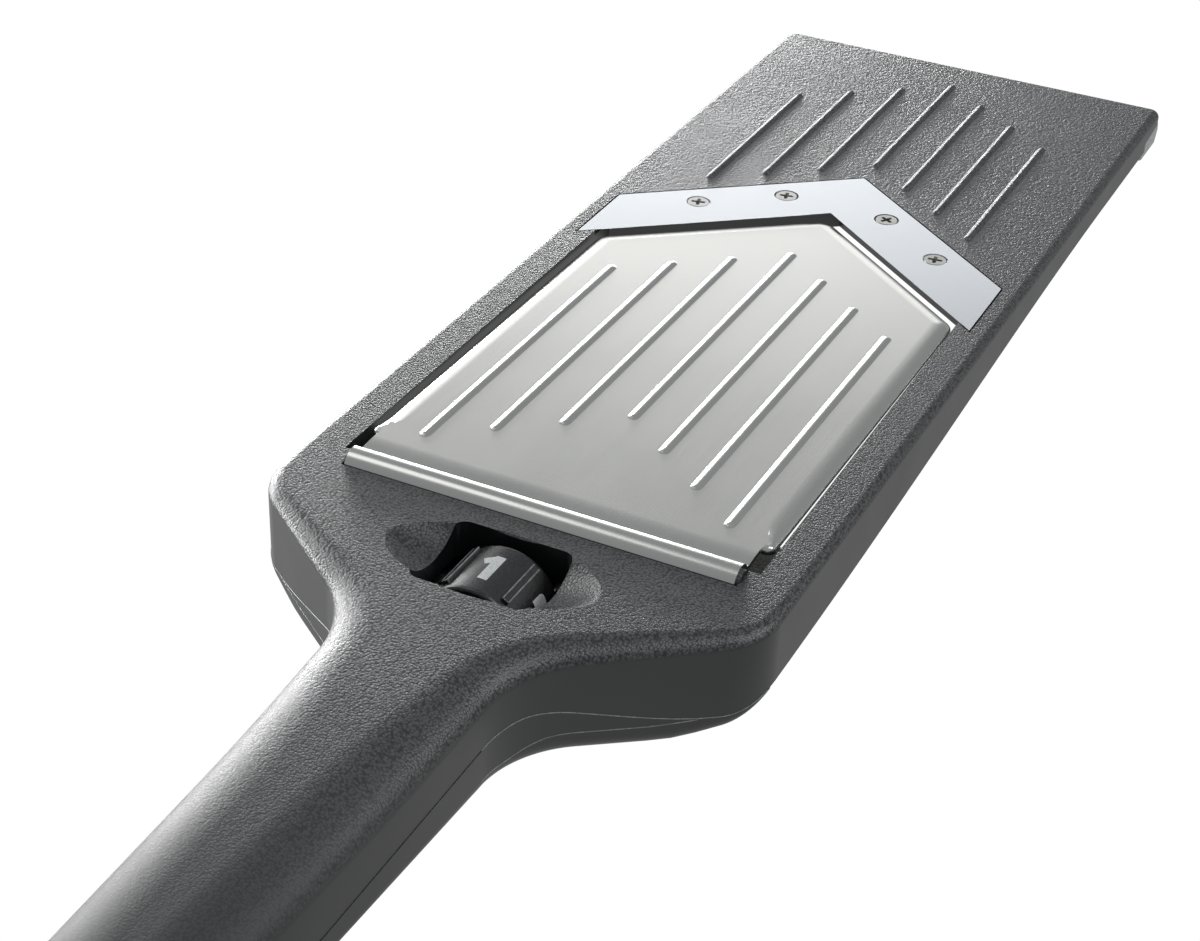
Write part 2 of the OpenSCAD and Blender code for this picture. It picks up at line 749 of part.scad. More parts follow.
module v_blade() {
    bevel_w = 2.2;
    color(blade_steel) place()
        difference() {
            translate([0, 0, -blade_t])
                linear_extrude(blade_t)
                    v_band(blade_apex, blade_inner_apex, blade_half_w);
            for (p = screw_points)
                translate([p.x, p.y, -blade_t - 1]) {
                    cylinder(r = screw_r + screw_gap, h = 2 * blade_t + 2);
                    translate([0, 0, 1 + blade_t - blade_head_t])
                        cylinder(r1 = screw_r + screw_gap, r2 = blade_head_r + 0.1, h = blade_head_t + 0.001);
                }
            // ground bevel under the cutting edge
            for (s = [0, 1])
                mirror([s, 0, 0])
                    translate([0, blade_inner_apex, -blade_t])
                        rotate([0, 0, -v_angle])
                            rotate([atan(blade_t / bevel_w), 0, 0])
                                translate([-past, -past, -past])
                                    cube([3 * past, past, past]);
        }
}

module blade_screws() {
    color(steel) place()
        for (p = screw_points)
            translate([p.x, p.y, -0.05])
                difference() {
                    union() {
                        translate([0, 0, -blade_head_t])
                            cylinder(r1 = screw_r, r2 = blade_head_r, h = blade_head_t);
                        translate([0, 0, -blade_screw_len]) cylinder(r = screw_r, h = blade_screw_len);
                    }
                    screw_recess(3.2, 0.9);
                }
}

module blade_inserts() {
    color(brass) place()
        for (p = screw_points)
            translate([p.x, p.y, -recess_depth - insert_len - seat_gap])
                difference() {
                    cylinder(r = insert_r, h = insert_len);
                    translate([0, 0, -1]) cylinder(r = screw_r + run_gap, h = insert_len + 2);
                }
}

module ramp_plate() {
    color(steel) place() on_plate()
        difference() {
            union() {
                plate_sheet();
                translate([-lip_w / 2, hinge_y, -plate_rise])
                    rotate([90, 0, 90])
                        linear_extrude(lip_w)
                            polygon(thick_line(lip_path(), sheet_t));
                intersection() {
                    rib_row(plate_rib_start, plate_rib_len, plate_rib_w, plate_rib_h);
                    translate([-half_w, 0, -sheet_t / 2]) cube([head_w, head_len, past]);
                }
            }
            rib_row(plate_rib_start, plate_rib_len, plate_rib_w, plate_rib_h, sheet_t);
        }
}

// Follower under the plate: its flat underside rides on the cam
module plate_saddle() {
    low = cam_max_r + free_gap - axis_depth;
    saddle_w = 12;
    saddle_len = cam_len + 3;
    color(nylon) place()
        difference() {
            translate([-saddle_w / 2, cam_y - saddle_len / 2, low]) cube([saddle_w, saddle_len, -low]);
            on_plate() translate([-half_w, 0, -sheet_t - head_gap]) cube([head_w, head_len, past]);
        }
}

module adjuster_wheel() {
    web_t = 3;
    rim_t = 2;
    rib_len = 12;
    notch_r = 1.2;
    color(black) place()
        difference() {
            union() {
                along_y(wheel_near, wheel_far, wheel_r);
                along_y(wheel_near - ring_len, wheel_near, ring_r);
                for (i = [0 : settings - 1])
                    translate([0, 0, -axis_depth])
                        rotate([0, 360 * (i + 0.5) / settings, 0])
                            translate([-wheel_rib_w / 2, wheel_mid - rib_len / 2, wheel_r - rim_t / 2])
                                cube([wheel_rib_w, rib_len, wheel_rib_h + rim_t / 2]);
            }
            difference() {
                along_y(wheel_near + web_t, wheel_far + 1, wheel_r - rim_t);
                along_y(wheel_near, wheel_far - 2, hub_r);
            }
            along_y(wheel_near - past, wheel_far + past, shaft_r + run_gap);
            for (i = [0 : settings - 1])
                translate([0, wheel_near - ring_len - 1, -axis_depth])
                    rotate([0, 360 * i / settings - 90, 0])
                        translate([0, 0, ring_r + notch_r / 2])
                            rotate([-90, 0, 0])
                                cylinder(r = notch_r, h = ring_len + 0.6);
            translate([0, wheel_mid, -axis_depth])
                cylinder(r = wheel_pin_r + run_gap, h = 2 * hub_r + 1, center = true);
        }
}

// Strokes of the numerals 1 to 5 as bars [x, y, width, height] in units of the stroke
numeral_bars = [
    [[-0.5, 0, 1, 8], [-2, 6, 2, 1]],
    [[-2, 7, 4, 1], [1, 4, 1, 4], [-2, 3.5, 4, 1], [-2, 0, 1, 4], [-2, 0, 4, 1]],
    [[-2, 7, 4, 1], [1, 0, 1, 8], [-1, 3.5, 3, 1], [-2, 0, 4, 1]],
    [[1, 0, 1, 8], [-2, 3, 4, 1], [-2, 3, 1, 5]],
    [[-2, 7, 4, 1], [-2, 3.5, 1, 4.5], [-2, 3.5, 4, 1], [1, 0, 1, 4], [-2, 0, 4, 1]]];

module dial_numerals() {
    unit = numeral_h / 8;
    color(nylon) place()
        for (i = [0 : settings - 1])
            intersection() {
                difference() {
                    along_y(wheel_near, wheel_far, wheel_r + numeral_t);
                    along_y(wheel_near - 1, wheel_far + 1, wheel_r);
                }
                translate([0, wheel_mid, -axis_depth])
                    rotate([0, -360 * i / settings, 0])
                        linear_extrude(past)
                            for (bar = numeral_bars[i])
                                translate([bar[0] * unit, (bar[1] - 4) * unit])
                                    square([bar[2] * unit, bar[3] * unit]);
            }
}

module camshaft() {
    color(steel) place()
        difference() {
            along_y(shaft_near, shaft_far, shaft_r);
            translate([0, wheel_mid, -axis_depth])
                cylinder(r = wheel_pin_r + run_gap, h = past, center = true);
            translate([0, cam_y, -axis_depth])
                cylinder(r = cam_pin_r + run_gap, h = past, center = true);
            difference() {
                along_y(clip_near - 0.05, clip_near + clip_t + 0.05, shaft_r + 1);
                along_y(clip_near - 1, clip_near + clip_t + 1, shaft_r - groove_depth);
            }
        }
}

module wheel_pin() {
    color(steel) place()
        translate([0, wheel_mid, -axis_depth])
            cylinder(r = wheel_pin_r, h = 2 * hub_r - 0.4, center = true);
}

// Spiral cam: its radius falls evenly from setting to setting
module lift_cam() {
    turn = wheel_turn;
    lead = 6;
    spiral = [for (a = [-lead : 6 : turn + lead]) let(r = cam_max_r - cam_rise * clamp01(a / turn))
        [-r * sin(a), r * cos(a)]];
    color(nylon) place()
        difference() {
            translate([0, cam_y + cam_len / 2, -axis_depth])
                rotate([90, 0, 0])
                    linear_extrude(cam_len)
                        polygon(spiral);
            along_y(cam_y - past, cam_y + past, shaft_r + run_gap);
            translate([0, cam_y, -axis_depth])
                cylinder(r = cam_pin_r + run_gap, h = past, center = true);
        }
}

module cam_pin() {
    color(steel) place()
        translate([0, cam_y, -axis_depth])
            cylinder(r = cam_pin_r, h = 2 * cam_min_r - 0.6, center = true);
}

module bush(from, to) {
    difference() {
        along_y(from, to, bush_r);
        along_y(from - 1, to + 1, shaft_r + run_gap);
    }
}

module rear_bush() {
    color(brass) place() bush(rear_web_near, rear_web_far);
}

module front_bush() {
    color(brass) place() bush(-front_boss_len, -0.2);
}

module far_bush() {
    color(brass) place() bush(far_wall_near, far_wall_far);
}

module shaft_clip() {
    color(steel) place()
        difference() {
            along_y(clip_near, clip_near + clip_t, shaft_r + 1.8);
            along_y(clip_near - 1, clip_near + clip_t + 1, shaft_r - groove_depth + run_gap);
        }
}

// Open channel that carries the far end of the shaft
module shaft_cradle() {
    inside = cam_max_r + 0.9;
    side = 1.8;
    floor_t = 1.4;
    floor_z = -axis_depth - cam_max_r - 0.5;
    low = floor_z - floor_t;
    color(charcoal) place()
        difference() {
            union() {
                translate([-inside - side, seat_gap, low])
                    cube([2 * (inside + side), far_wall_far - seat_gap, -axis_depth - low]);
                translate([-cradle_screw_x - boss_r, seat_gap, low])
                    cube([2 * (cradle_screw_x + boss_r), cradle_flange_t, boss_r - axis_depth - low]);
                along_y(far_wall_near, far_wall_far, bush_r + side);
            }
            translate([-inside, seat_gap + cradle_flange_t, floor_z])
                cube([2 * inside, far_wall_near - cradle_flange_t - seat_gap, past]);
            along_y(-1, far_wall_near, shaft_r + 2 * free_gap);
            along_y(far_wall_near - 1, far_wall_far + 1, bush_r + run_gap);
            for (x = [-cradle_screw_x, cradle_screw_x])
                translate([x, 0, 0]) along_y(-1, cradle_flange_t + 2, screw_r + screw_gap);
        }
}

module cradle_screws() {
    color(steel) place()
        for (x = [-cradle_screw_x, cradle_screw_x])
            translate([x, cradle_flange_t + seat_gap + head_gap, -axis_depth])
                rotate([90, 0, 0])
                    pan_screw(cradle_screw_len, pilot_r);
}

// Leaf spring that runs on the notched ring of the wheel
module detent_spring() {
    leaf_w = 1.8;
    face = -ring_r - free_gap;
    outer = detent_x - 3.5;
    low = -axis_depth - ring_r / 2;
    front = wheel_near - free_gap;
    back = detent_y - 2.5;
    color(steel) place()
        difference() {
            union() {
                translate([face - leaf_t, front - leaf_w, low])
                    cube([leaf_t, leaf_w, detent_z - low]);
                translate([outer, back, detent_z - leaf_t])
                    cube([face - outer, front - back, leaf_t]);
            }
            translate([detent_x, detent_y, -past]) cylinder(r = detent_screw_r + screw_gap, h = past);
        }
}

module detent_screw() {
    head_t = 1.2;
    color(steel) place()
        translate([detent_x, detent_y, detent_z - leaf_t - head_gap]) {
            cylinder(r = detent_screw_r, h = detent_screw_len);
            translate([0, 0, -head_t]) cylinder(r = 1.9 * detent_screw_r, h = head_t);
        }
}

module cover_screws() {
    color(steel) place()
        for (p = cover_posts)
            translate([p.x, p.y, lower_edge(p.y) - cover_seat - head_gap])
                pan_screw(cover_screw_len, pilot_r);
}

// Rubber foot in the slanted seat under the far edge
module foot_strip() {
    nose = head_len + foot_nose;
    low_edge = 2;
    color(grey_rubber) place()
        translate([-half_w + foot_inset, 0, 0])
            rotate([90, 0, 90])
                linear_extrude(head_w - 2 * foot_inset)
                    polygon([[foot_start, -wall_depth_far - foot_lap - seat_gap],
                             [foot_start + foot_slant, -foot_top - seat_gap],
                             [nose - low_edge / 3, -foot_top - seat_gap], [nose, -foot_top - low_edge],
                             [nose - low_edge, -foot_depth], [foot_start + low_edge, -foot_depth]]);
}

body_shell();
lower_cover();
v_blade();
blade_screws();
blade_inserts();
ramp_plate();
plate_saddle();
adjuster_wheel();
dial_numerals();
camshaft();
wheel_pin();
lift_cam();
cam_pin();
rear_bush();
front_bush();
far_bush();
shaft_clip();
shaft_cradle();
cradle_screws();
detent_spring();
detent_screw();
cover_screws();
foot_strip();
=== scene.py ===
# %% [markdown]
# This lesson dresses a hand-held slicer. A moulded body with a handle carries a V-shaped blade,
# a hinged steel ramp and a thumbwheel that sets how far the ramp drops below the blade.
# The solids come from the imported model, which is loaded as a fixed frame: a piece made here
# either stays on the node that it replaces, or rides on the body that carries it.

# %% Load the frame
from math import cos, hypot, pi, radians, sin, sqrt, tan

import bmesh
import bpy
from mathutils import Matrix, Vector


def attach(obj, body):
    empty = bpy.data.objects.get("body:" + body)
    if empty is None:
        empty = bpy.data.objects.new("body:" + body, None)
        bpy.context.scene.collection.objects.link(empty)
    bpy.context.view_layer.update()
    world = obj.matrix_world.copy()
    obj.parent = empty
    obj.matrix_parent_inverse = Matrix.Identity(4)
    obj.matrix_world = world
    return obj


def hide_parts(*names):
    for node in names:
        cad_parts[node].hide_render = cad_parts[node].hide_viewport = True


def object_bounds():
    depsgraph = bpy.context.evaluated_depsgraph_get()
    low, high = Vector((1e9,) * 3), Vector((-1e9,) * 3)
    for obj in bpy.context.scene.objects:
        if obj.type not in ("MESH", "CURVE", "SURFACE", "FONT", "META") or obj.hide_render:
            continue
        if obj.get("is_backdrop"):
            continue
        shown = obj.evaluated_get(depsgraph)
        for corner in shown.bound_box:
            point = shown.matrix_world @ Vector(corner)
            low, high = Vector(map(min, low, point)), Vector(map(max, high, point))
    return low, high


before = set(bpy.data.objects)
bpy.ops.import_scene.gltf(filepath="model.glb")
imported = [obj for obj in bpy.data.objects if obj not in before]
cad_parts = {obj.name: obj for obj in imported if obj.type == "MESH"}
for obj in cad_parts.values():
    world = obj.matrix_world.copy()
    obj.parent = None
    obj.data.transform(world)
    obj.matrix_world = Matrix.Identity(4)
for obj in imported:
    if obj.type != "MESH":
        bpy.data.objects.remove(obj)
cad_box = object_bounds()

scene = bpy.context.scene

# %% [markdown]
# The sizes below are millimetres in the tool's own frame: y runs along the tool from the handle-side
# edge of the window, and z is zero on the top face. One function turns such a point into the
# model's metres, so every mesh is written in numbers that can be checked with a ruler.

# %% Sizes and the step from millimetres to the model
MM = 0.001
HEAD_W, HEAD_LEN, HANDLE_LEN = 102.8, 241.6, 159.6
HALF_W = HEAD_W / 2
FOOT_NOSE, AXIS_Z = 1.2, -10.4
Y_MID = (HEAD_LEN + FOOT_NOSE - HANDLE_LEN) / 2
LOW_Z = -22.8
V_ANGLE = radians(39)
V_SLOPE = tan(V_ANGLE)


def to_model(p):
    return Vector((p[0] * MM, (p[1] - Y_MID) * MM, (p[2] - LOW_Z) * MM))


def in_scene(name, data):
    obj = bpy.data.objects.new(name, data)
    scene.collection.objects.link(obj)
    return obj


def mix(a, b, t):
    return a + (b - a) * t


def smooth(t):
    t = min(1, max(0, t))
    return t * t * (3 - 2 * t)


def circle(steps):
    return [(cos(2 * pi * i / steps), sin(2 * pi * i / steps)) for i in range(steps)]


ORIGIN = to_model((0, 0, 0))
print("origin of the tool frame in the model:", [round(c, 4) for c in ORIGIN])

# %% [markdown]
# The camera stands in front of the handle, to its right, and looks down along the tool. Its place and
# focal length were solved from points of known size, so the picture can be compared spot by spot.

# %% Camera
CAMERA_AT = (0.16101, -0.35967, 0.25822)
SENSOR_MM, FOCAL_MM = 36, 69.58
camera = in_scene("camera", bpy.data.cameras.new("camera"))
forward = Vector((-0.36029, 0.76300, -0.53668)).normalized()
up = Vector((-0.26502, 0.46789, 0.84311))
right = forward.cross(up).normalized()
up = right.cross(forward)
camera.matrix_world = Matrix.Translation(CAMERA_AT) @ Matrix((right, up, -forward)).transposed().to_4x4()
camera.data.sensor_width, camera.data.lens = SENSOR_MM, FOCAL_MM
camera.data.clip_start, camera.data.clip_end = 0.01, 20
scene.camera = camera
print("camera at", [round(c, 3) for c in camera.location])

# %% [markdown]
# Floor and finishes are built from shader nodes. These helpers keep that short: one makes a node and joins
# its inputs, a few do sums, and one maps a range of values onto another.

# %% Node helpers
def feed(tree, node, inputs):
    """Each named or numbered input gets a link or a plain value; None leaves it as it is."""
    for label, value in inputs.items():
        if isinstance(value, bpy.types.NodeSocket):
            tree.links.new(value, node.inputs[label])
        elif value is not None:
            node.inputs[label].default_value = value


def add(tree, kind, inputs=None, **settings):
    node = tree.nodes.new(kind)
    for key, value in settings.items():
        setattr(node, key, value)
    feed(tree, node, inputs or {})
    return node


def place_on(tree, kind="Object"):
    return add(tree, "ShaderNodeTexCoord").outputs[kind]


def axes(vector):
    return add(vector.id_data, "ShaderNodeSeparateXYZ", {0: vector}).outputs


def calc(operation, a, b=None, clamp=False):
    """A sum, in the tree of the value that is a socket."""
    tree = next(value.id_data for value in (a, b) if isinstance(value, bpy.types.NodeSocket))
    return add(tree, "ShaderNodeMath", {0: a, 1: b}, operation=operation, use_clamp=clamp).outputs[0]


def plus(a, b, clamp=False):
    return calc("ADD", a, b, clamp)


def minus(a, b):
    return calc("SUBTRACT", a, b)


def times(a, b, clamp=False):
    return calc("MULTIPLY", a, b, clamp)


def map_range(value, start, end, low, high):
    ends = {"From Min": start, "From Max": end, "To Min": low, "To Max": high}
    return add(value.id_data, "ShaderNodeMapRange", {"Value": value, **ends}).outputs["Result"]


def new_material(name):
    material = bpy.data.materials.new(name)
    material.use_nodes = True
    tree = material.node_tree
    return material, tree, tree.nodes["Principled BSDF"]


# %% [markdown]
# The stage is a plain white floor. Rays from the camera see it at full white, and reflections see it dimmer,
# brighter on the left than on the right, as in a room with one large window. The lights are soft panels:
# flat steel shows whatever lies in its mirror direction, which from this camera is low behind the tool.

# %% Floor
FLOOR_HALF, FLOOR_Z = 4, -0.002
LEFT_X, LEFT_GLOW, RIGHT_X, RIGHT_GLOW = -0.3, 1, 0.25, 0.22
floor_mesh = bpy.data.meshes.new("floor")
corners = ((-1, -1), (1, -1), (1, 1), (-1, 1))
floor_mesh.from_pydata([(x * FLOOR_HALF, y * FLOOR_HALF, FLOOR_Z) for x, y in corners], [], [(0, 1, 2, 3)])
floor = in_scene("floor", floor_mesh)
floor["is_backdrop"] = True
floor_paint, tree, shader = new_material("floor_paint")
ray = add(tree, "ShaderNodeLightPath")
seen = map_range(axes(place_on(tree))["X"], LEFT_X, RIGHT_X, LEFT_GLOW, RIGHT_GLOW)
glow = add(tree, "ShaderNodeMix", {"Factor": ray.outputs["Is Camera Ray"], "A": seen, "B": 1})
feed(tree, shader, {"Base Color": (0.02, 0.02, 0.02, 1), "Roughness": 0.9, "Specular IOR Level": 0,
                    "Emission Color": (1, 1, 1, 1), "Emission Strength": glow.outputs["Result"]})
floor_mesh.materials.append(floor_paint)
print("floor:", [round(side, 1) for side in floor.dimensions])

# %% Sky and soft panels
scene.view_settings.view_transform = "Standard"
scene.world = bpy.data.worlds.new("studio")
scene.world.use_nodes = True
sky = scene.world.node_tree.nodes["Background"]
sky.inputs["Color"].default_value = (0.93, 0.97, 1, 1)
sky.inputs["Strength"].default_value = 0.3


def soft_panel(name, bearing, height, distance, width, tall, radiance):
    """A panel that faces the tool; bearing and height are angles in degrees, seen from the tool."""
    light = bpy.data.lights.new(name, "AREA")
    light.shape = "RECTANGLE"
    light.size, light.size_y = width, tall
    light.energy = radiance * pi * width * tall
    panel = in_scene(name, light)
    flat = distance * cos(radians(height))
    panel.location = (flat * sin(radians(bearing)), flat * cos(radians(bearing)),
                      distance * sin(radians(height)))
    panel.rotation_euler = (-panel.location).to_track_quat("-Z", "Y").to_euler()
    panel.visible_camera = False


# bearing, height, distance, width, tall, radiance
soft_panel("back_panel", -27, 18, 1.6, 1.15, 0.55, 1.08)
soft_panel("low_panel", -38, 5.5, 1.5, 1.1, 0.17, 21)
soft_panel("left_panel", -76, 24, 1.3, 0.5, 0.6, 6)
soft_panel("edge_panel", -78, 2.5, 0.36, 0.5, 0.06, 20)
soft_panel("key_panel", -106, 60, 1.2, 0.5, 0.45, 1.1)
soft_panel("right_panel", 70, 36, 1.2, 0.4, 0.4, 5.5)
soft_panel("high_panel", 102, 62, 1.2, 0.35, 0.35, 5)

# %% [markdown]
# Most finishes share a few effects, so each effect is a node group that is built once: the pebbled grain
# of a spark-eroded mould, whose tone holds painted glints on the pebbles and painted shade in the pits,
# the fine lines of brushed steel, and the broad smudges of handling.
# A group gives only masks and heights; the shader itself stays in the material.

# %% Node groups
NUMBER, COUNT, PAINT, SHAPE = "NodeSocketFloat", "NodeSocketInt", "NodeSocketMaterial", "NodeSocketObject"


def node_group(kind, name, inputs, outputs, output_kind):
    """A group with named sockets, and its two end nodes; an input has a kind of socket and a first value."""
    tree = bpy.data.node_groups.new(name, kind)
    for label, (input_kind, value) in inputs.items():
        socket = tree.interface.new_socket(label, in_out="INPUT", socket_type=input_kind)
        if value is not None:
            socket.default_value = value
    for label in outputs:
        tree.interface.new_socket(label, in_out="OUTPUT", socket_type=output_kind)
    return tree, add(tree, "NodeGroupInput"), add(tree, "NodeGroupOutput")


def effect_group(name, inputs, outputs):
    numbers = {label: (NUMBER, value) for label, value in inputs.items()}
    return node_group("ShaderNodeTree", name, numbers, outputs, NUMBER)


def noise(tree, scale, detail, vector=None, distortion=0):
    vector = place_on(tree) if vector is None else vector
    return add(tree, "ShaderNodeTexNoise", {"Vector": vector, "Scale": scale, "Detail": detail,
                                            "Distortion": distortion}).outputs["Fac"]


# %% Moulded grain
PIT_EDGE, PIT_GAIN, PIT_CHANCE, FINE_SHARE, MOTTLE_SCALE = 0.74, 2.2, 0.5, 0.3, 0.65
mould_grain, got, give = effect_group("mould_grain", {"Scale": 1700, "Fine": 2.5},
                                      ["Height", "Speckle_and_painted_glints", "Mottle"])
scale = got.outputs["Scale"]
cells = add(mould_grain, "ShaderNodeTexVoronoi", {"Vector": place_on(mould_grain), "Scale": scale})
tint = add(mould_grain, "ShaderNodeSeparateColor", {"Color": cells.outputs["Color"]})
fine = noise(mould_grain, times(scale, got.outputs["Fine"]), 1)
height = minus(times(fine, FINE_SHARE), cells.outputs["Distance"])
# Tone by distance from each cell's middle: lighter pebble tops are painted glints, darker pits painted shade;
# chance adds the plastic's own random tone.
painted_glints_and_pits = times(minus(PIT_EDGE, cells.outputs["Distance"]), PIT_GAIN)
chance = times(minus(tint.outputs["Red"], 0.5), PIT_CHANCE)
feed(mould_grain, give, {"Height": height, "Speckle_and_painted_glints": plus(painted_glints_and_pits, chance, True),
                         "Mottle": noise(mould_grain, times(scale, MOTTLE_SCALE), 1)})
print("grain gives:", [socket.name for socket in give.inputs if socket.name])

# %% Brushed lines and handling smudges
CLOUD_SCALE, SMUDGE_TWIST = 22, 0.6
brushed_lines, got, give = effect_group("brushed_lines", {"Across": 4200, "Along": 45}, ["Lines", "Cloud"])
across, along = got.outputs["Across"], got.outputs["Along"]
scales = add(brushed_lines, "ShaderNodeCombineXYZ", {"X": across, "Y": along, "Z": across})
stretch = add(brushed_lines, "ShaderNodeVectorMath", {0: place_on(brushed_lines), 1: scales.outputs[0]},
              operation="MULTIPLY")
feed(brushed_lines, give, {"Lines": noise(brushed_lines, 1, 3, stretch.outputs[0]),
                           "Cloud": noise(brushed_lines, CLOUD_SCALE, 2)})

handling, got, give = effect_group("handling", {"Scale": 40}, ["Smudge"])
feed(handling, give, {"Smudge": noise(handling, got.outputs["Scale"], 4, distortion=SMUDGE_TWIST)})
print("effects:", [g.name for g in bpy.data.node_groups])

# %% [markdown]
# Two makers of materials use these effects. Moulded plastic is dark. On the body it has grain only on faces
# that look up, because the mould's side walls are polished so that the part can leave the tool. The grain
# fades and dulls along the handle, where a hand rubs it, and a coarser mottle joins it at the far end.
# Steel is a full metal whose roughness follows the brushed lines, because that spreads its highlights.

# %% Tone, relief and the body's own grain
UP_FROM, UP_GAIN, BARE_TONE, BARE_RELIEF = 0.12, 4, 0.08, 0.03
HANDLE_Y, NECK_Y, HANDLE_GRAIN, HANDLE_DULL = -0.16, -0.095, 0.3, 0.3
FAR_FROM, FAR_TO, MOTTLE_MID, MOTTLE_GAIN, MOTTLE_RELIEF = 0.03, 0.13, 0.42, 2.2, 3


def effect(tree, group, **values):
    return add(tree, "ShaderNodeGroup", values, node_tree=group).outputs


def two_tone(mask, dark, light):
    tones = {0: mask, 6: (*dark, 1), 7: (*light, 1)}
    return add(mask.id_data, "ShaderNodeMix", tones, data_type="RGBA").outputs[2]


def bump(height, strength, distance):
    relief = {"Height": height, "Strength": strength, "Distance": distance}
    return add(height.id_data, "ShaderNodeBump", relief).outputs["Normal"]


def body_grain(tree, grain, strength):
    """Tone, relief, its strength and added roughness of the body's grain, by place and by facing.
    The tone's light pebble tops and dark pits are painted glints and painted shade.
    """
    facing, y = axes(place_on(tree, "Normal"))["Z"], axes(place_on(tree))["Y"]
    up = times(minus(facing, UP_FROM), UP_GAIN, True)
    fresh = map_range(y, HANDLE_Y, NECK_Y, HANDLE_GRAIN, 1)
    far = map_range(y, FAR_FROM, FAR_TO, 0, 1)
    grained = times(up, fresh)
    pebbles_and_glints = times(minus(grain["Speckle_and_painted_glints"], BARE_TONE), grained)
    coarse = times(minus(grain["Mottle"], MOTTLE_MID), MOTTLE_GAIN)
    tone = plus(plus(pebbles_and_glints, times(up, BARE_TONE)),
                times(times(coarse, far), up), True)
    swell = times(times(grain["Mottle"], MOTTLE_RELIEF), far)
    power = plus(times(grained, strength), BARE_RELIEF)
    dull = times(minus(1, fresh), HANDLE_DULL)
    return tone, plus(grain["Height"], swell), power, dull


# %% Moulded plastic
GRAIN_DEPTH, PLASTIC_SHINE, SMUDGE_ROUGH, SMUDGE_SCALE = 0.0001, 0.9, 0.06, 38


def moulded_plastic(name, dark, light, gloss, scale, strength, is_body=False):
    material, tree, shader = new_material(name)
    grain = effect(tree, mould_grain, Scale=scale)
    smudge = effect(tree, handling, Scale=SMUDGE_SCALE)["Smudge"]
    tone, relief, power, dull = grain["Speckle_and_painted_glints"], grain["Height"], strength, 0
    if is_body:
        tone, relief, power, dull = body_grain(tree, grain, strength)
    smudged = map_range(smudge, 0, 1, gloss - SMUDGE_ROUGH, gloss + SMUDGE_ROUGH)
    rough = plus(plus(smudged, times(tone, SMUDGE_ROUGH)), dull)
    feed(tree, shader, {"Base Color": two_tone(tone, dark, light), "Roughness": rough,
                        "Specular IOR Level": PLASTIC_SHINE,
                        "Normal": bump(relief, power, GRAIN_DEPTH)})
    return material


body_plastic = moulded_plastic("body_plastic", (0.006, 0.007, 0.008), (0.074, 0.076, 0.077), 0.36, 2000, 0.8,
                               is_body=True)
# A light grey plastic whose colour is a painted highlight: the thin light lines on the cover's joint and
# crease, and on the grip ribs' edges.
painted_highlight_plastic = moulded_plastic("painted_highlight_plastic", (0.15, 0.155, 0.16), (0.26, 0.265, 0.27), 0.35, 900, 0.2)
wheel_plastic = moulded_plastic("wheel_plastic", (0.008, 0.008, 0.009), (0.016, 0.016, 0.017), 0.28, 2200,
                                0.25)
grip_plastic = moulded_plastic("grip_plastic", (0.014, 0.014, 0.015), (0.03, 0.03, 0.031), 0.18, 2200, 0.1)
foot_rubber = moulded_plastic("foot_rubber", (0.36, 0.375, 0.385), (0.48, 0.495, 0.505), 0.55, 1500, 0.35)
nylon = moulded_plastic("nylon", (0.62, 0.61, 0.57), (0.70, 0.69, 0.65), 0.45, 1500, 0.10)
numeral_ink = moulded_plastic("numeral_ink", (0.52, 0.54, 0.54), (0.66, 0.68, 0.68), 0.55, 2600, 0.10)
print("plastics:", body_plastic.name, "and six more")

# %% Brushed and turned metals
BRUSH_DEPTH, METAL_SMUDGE, METAL_SMUDGE_SCALE, LINE_SHARE, CLOUD_SHARE = 0.00003, 0.03, 26, 0.6, 0.4


def brushed_metal(name, dark, light, gloss, across, along, strength=0.04, vary=0.04):
    material, tree, shader = new_material(name)
    brush = effect(tree, brushed_lines, Across=across, Along=along)
    smudge = effect(tree, handling, Scale=METAL_SMUDGE_SCALE)["Smudge"]
    tone = plus(times(brush["Lines"], LINE_SHARE),
                times(brush["Cloud"], CLOUD_SHARE))
    rough = plus(map_range(brush["Lines"], 0, 1, gloss - vary, gloss + vary),
                 map_range(smudge, 0, 1, -METAL_SMUDGE, METAL_SMUDGE))
    feed(tree, shader, {"Base Color": two_tone(tone, dark, light), "Roughness": rough, "Metallic": 1,
                        "Normal": bump(brush["Lines"], strength, BRUSH_DEPTH)})
    return material


plate_steel = brushed_metal("plate_steel", (0.69, 0.685, 0.655), (0.79, 0.785, 0.755), 0.25, 4200, 60,
                            0.006, 0.02)
blade_steel = brushed_metal("blade_steel", (0.71, 0.735, 0.76), (0.76, 0.785, 0.81), 0.24, 3000, 90,
                            0.001, 0.01)
screw_steel = brushed_metal("screw_steel", (0.44, 0.435, 0.42), (0.58, 0.575, 0.56), 0.34, 2600, 2600)
shaft_steel = brushed_metal("shaft_steel", (0.52, 0.52, 0.51), (0.66, 0.66, 0.65), 0.30, 300, 5200)
brass = brushed_metal("brass", (0.62, 0.47, 0.20), (0.75, 0.58, 0.27), 0.30, 300, 5200)
print("metals:", [m.name for m in (plate_steel, blade_steel, screw_steel, shaft_steel, brass)])

# %% [markdown]
# A few mesh helpers follow: a loft through rings, a prism, a turned shape and a cut. Cuts use the
# Boolean modifier and are applied at once, so each piece ends as a plain mesh with no modifier left.

# %% Mesh helpers
def solid(name, points, faces, shape=to_model):
    mesh = bpy.data.meshes.new(name)
    mesh.from_pydata([shape(p) for p in points], [], faces)
    edit = bmesh.new()
    edit.from_mesh(mesh)
    bmesh.ops.recalc_face_normals(edit, faces=edit.faces)
    edit.to_mesh(mesh)
    edit.free()
    return in_scene(name, mesh)


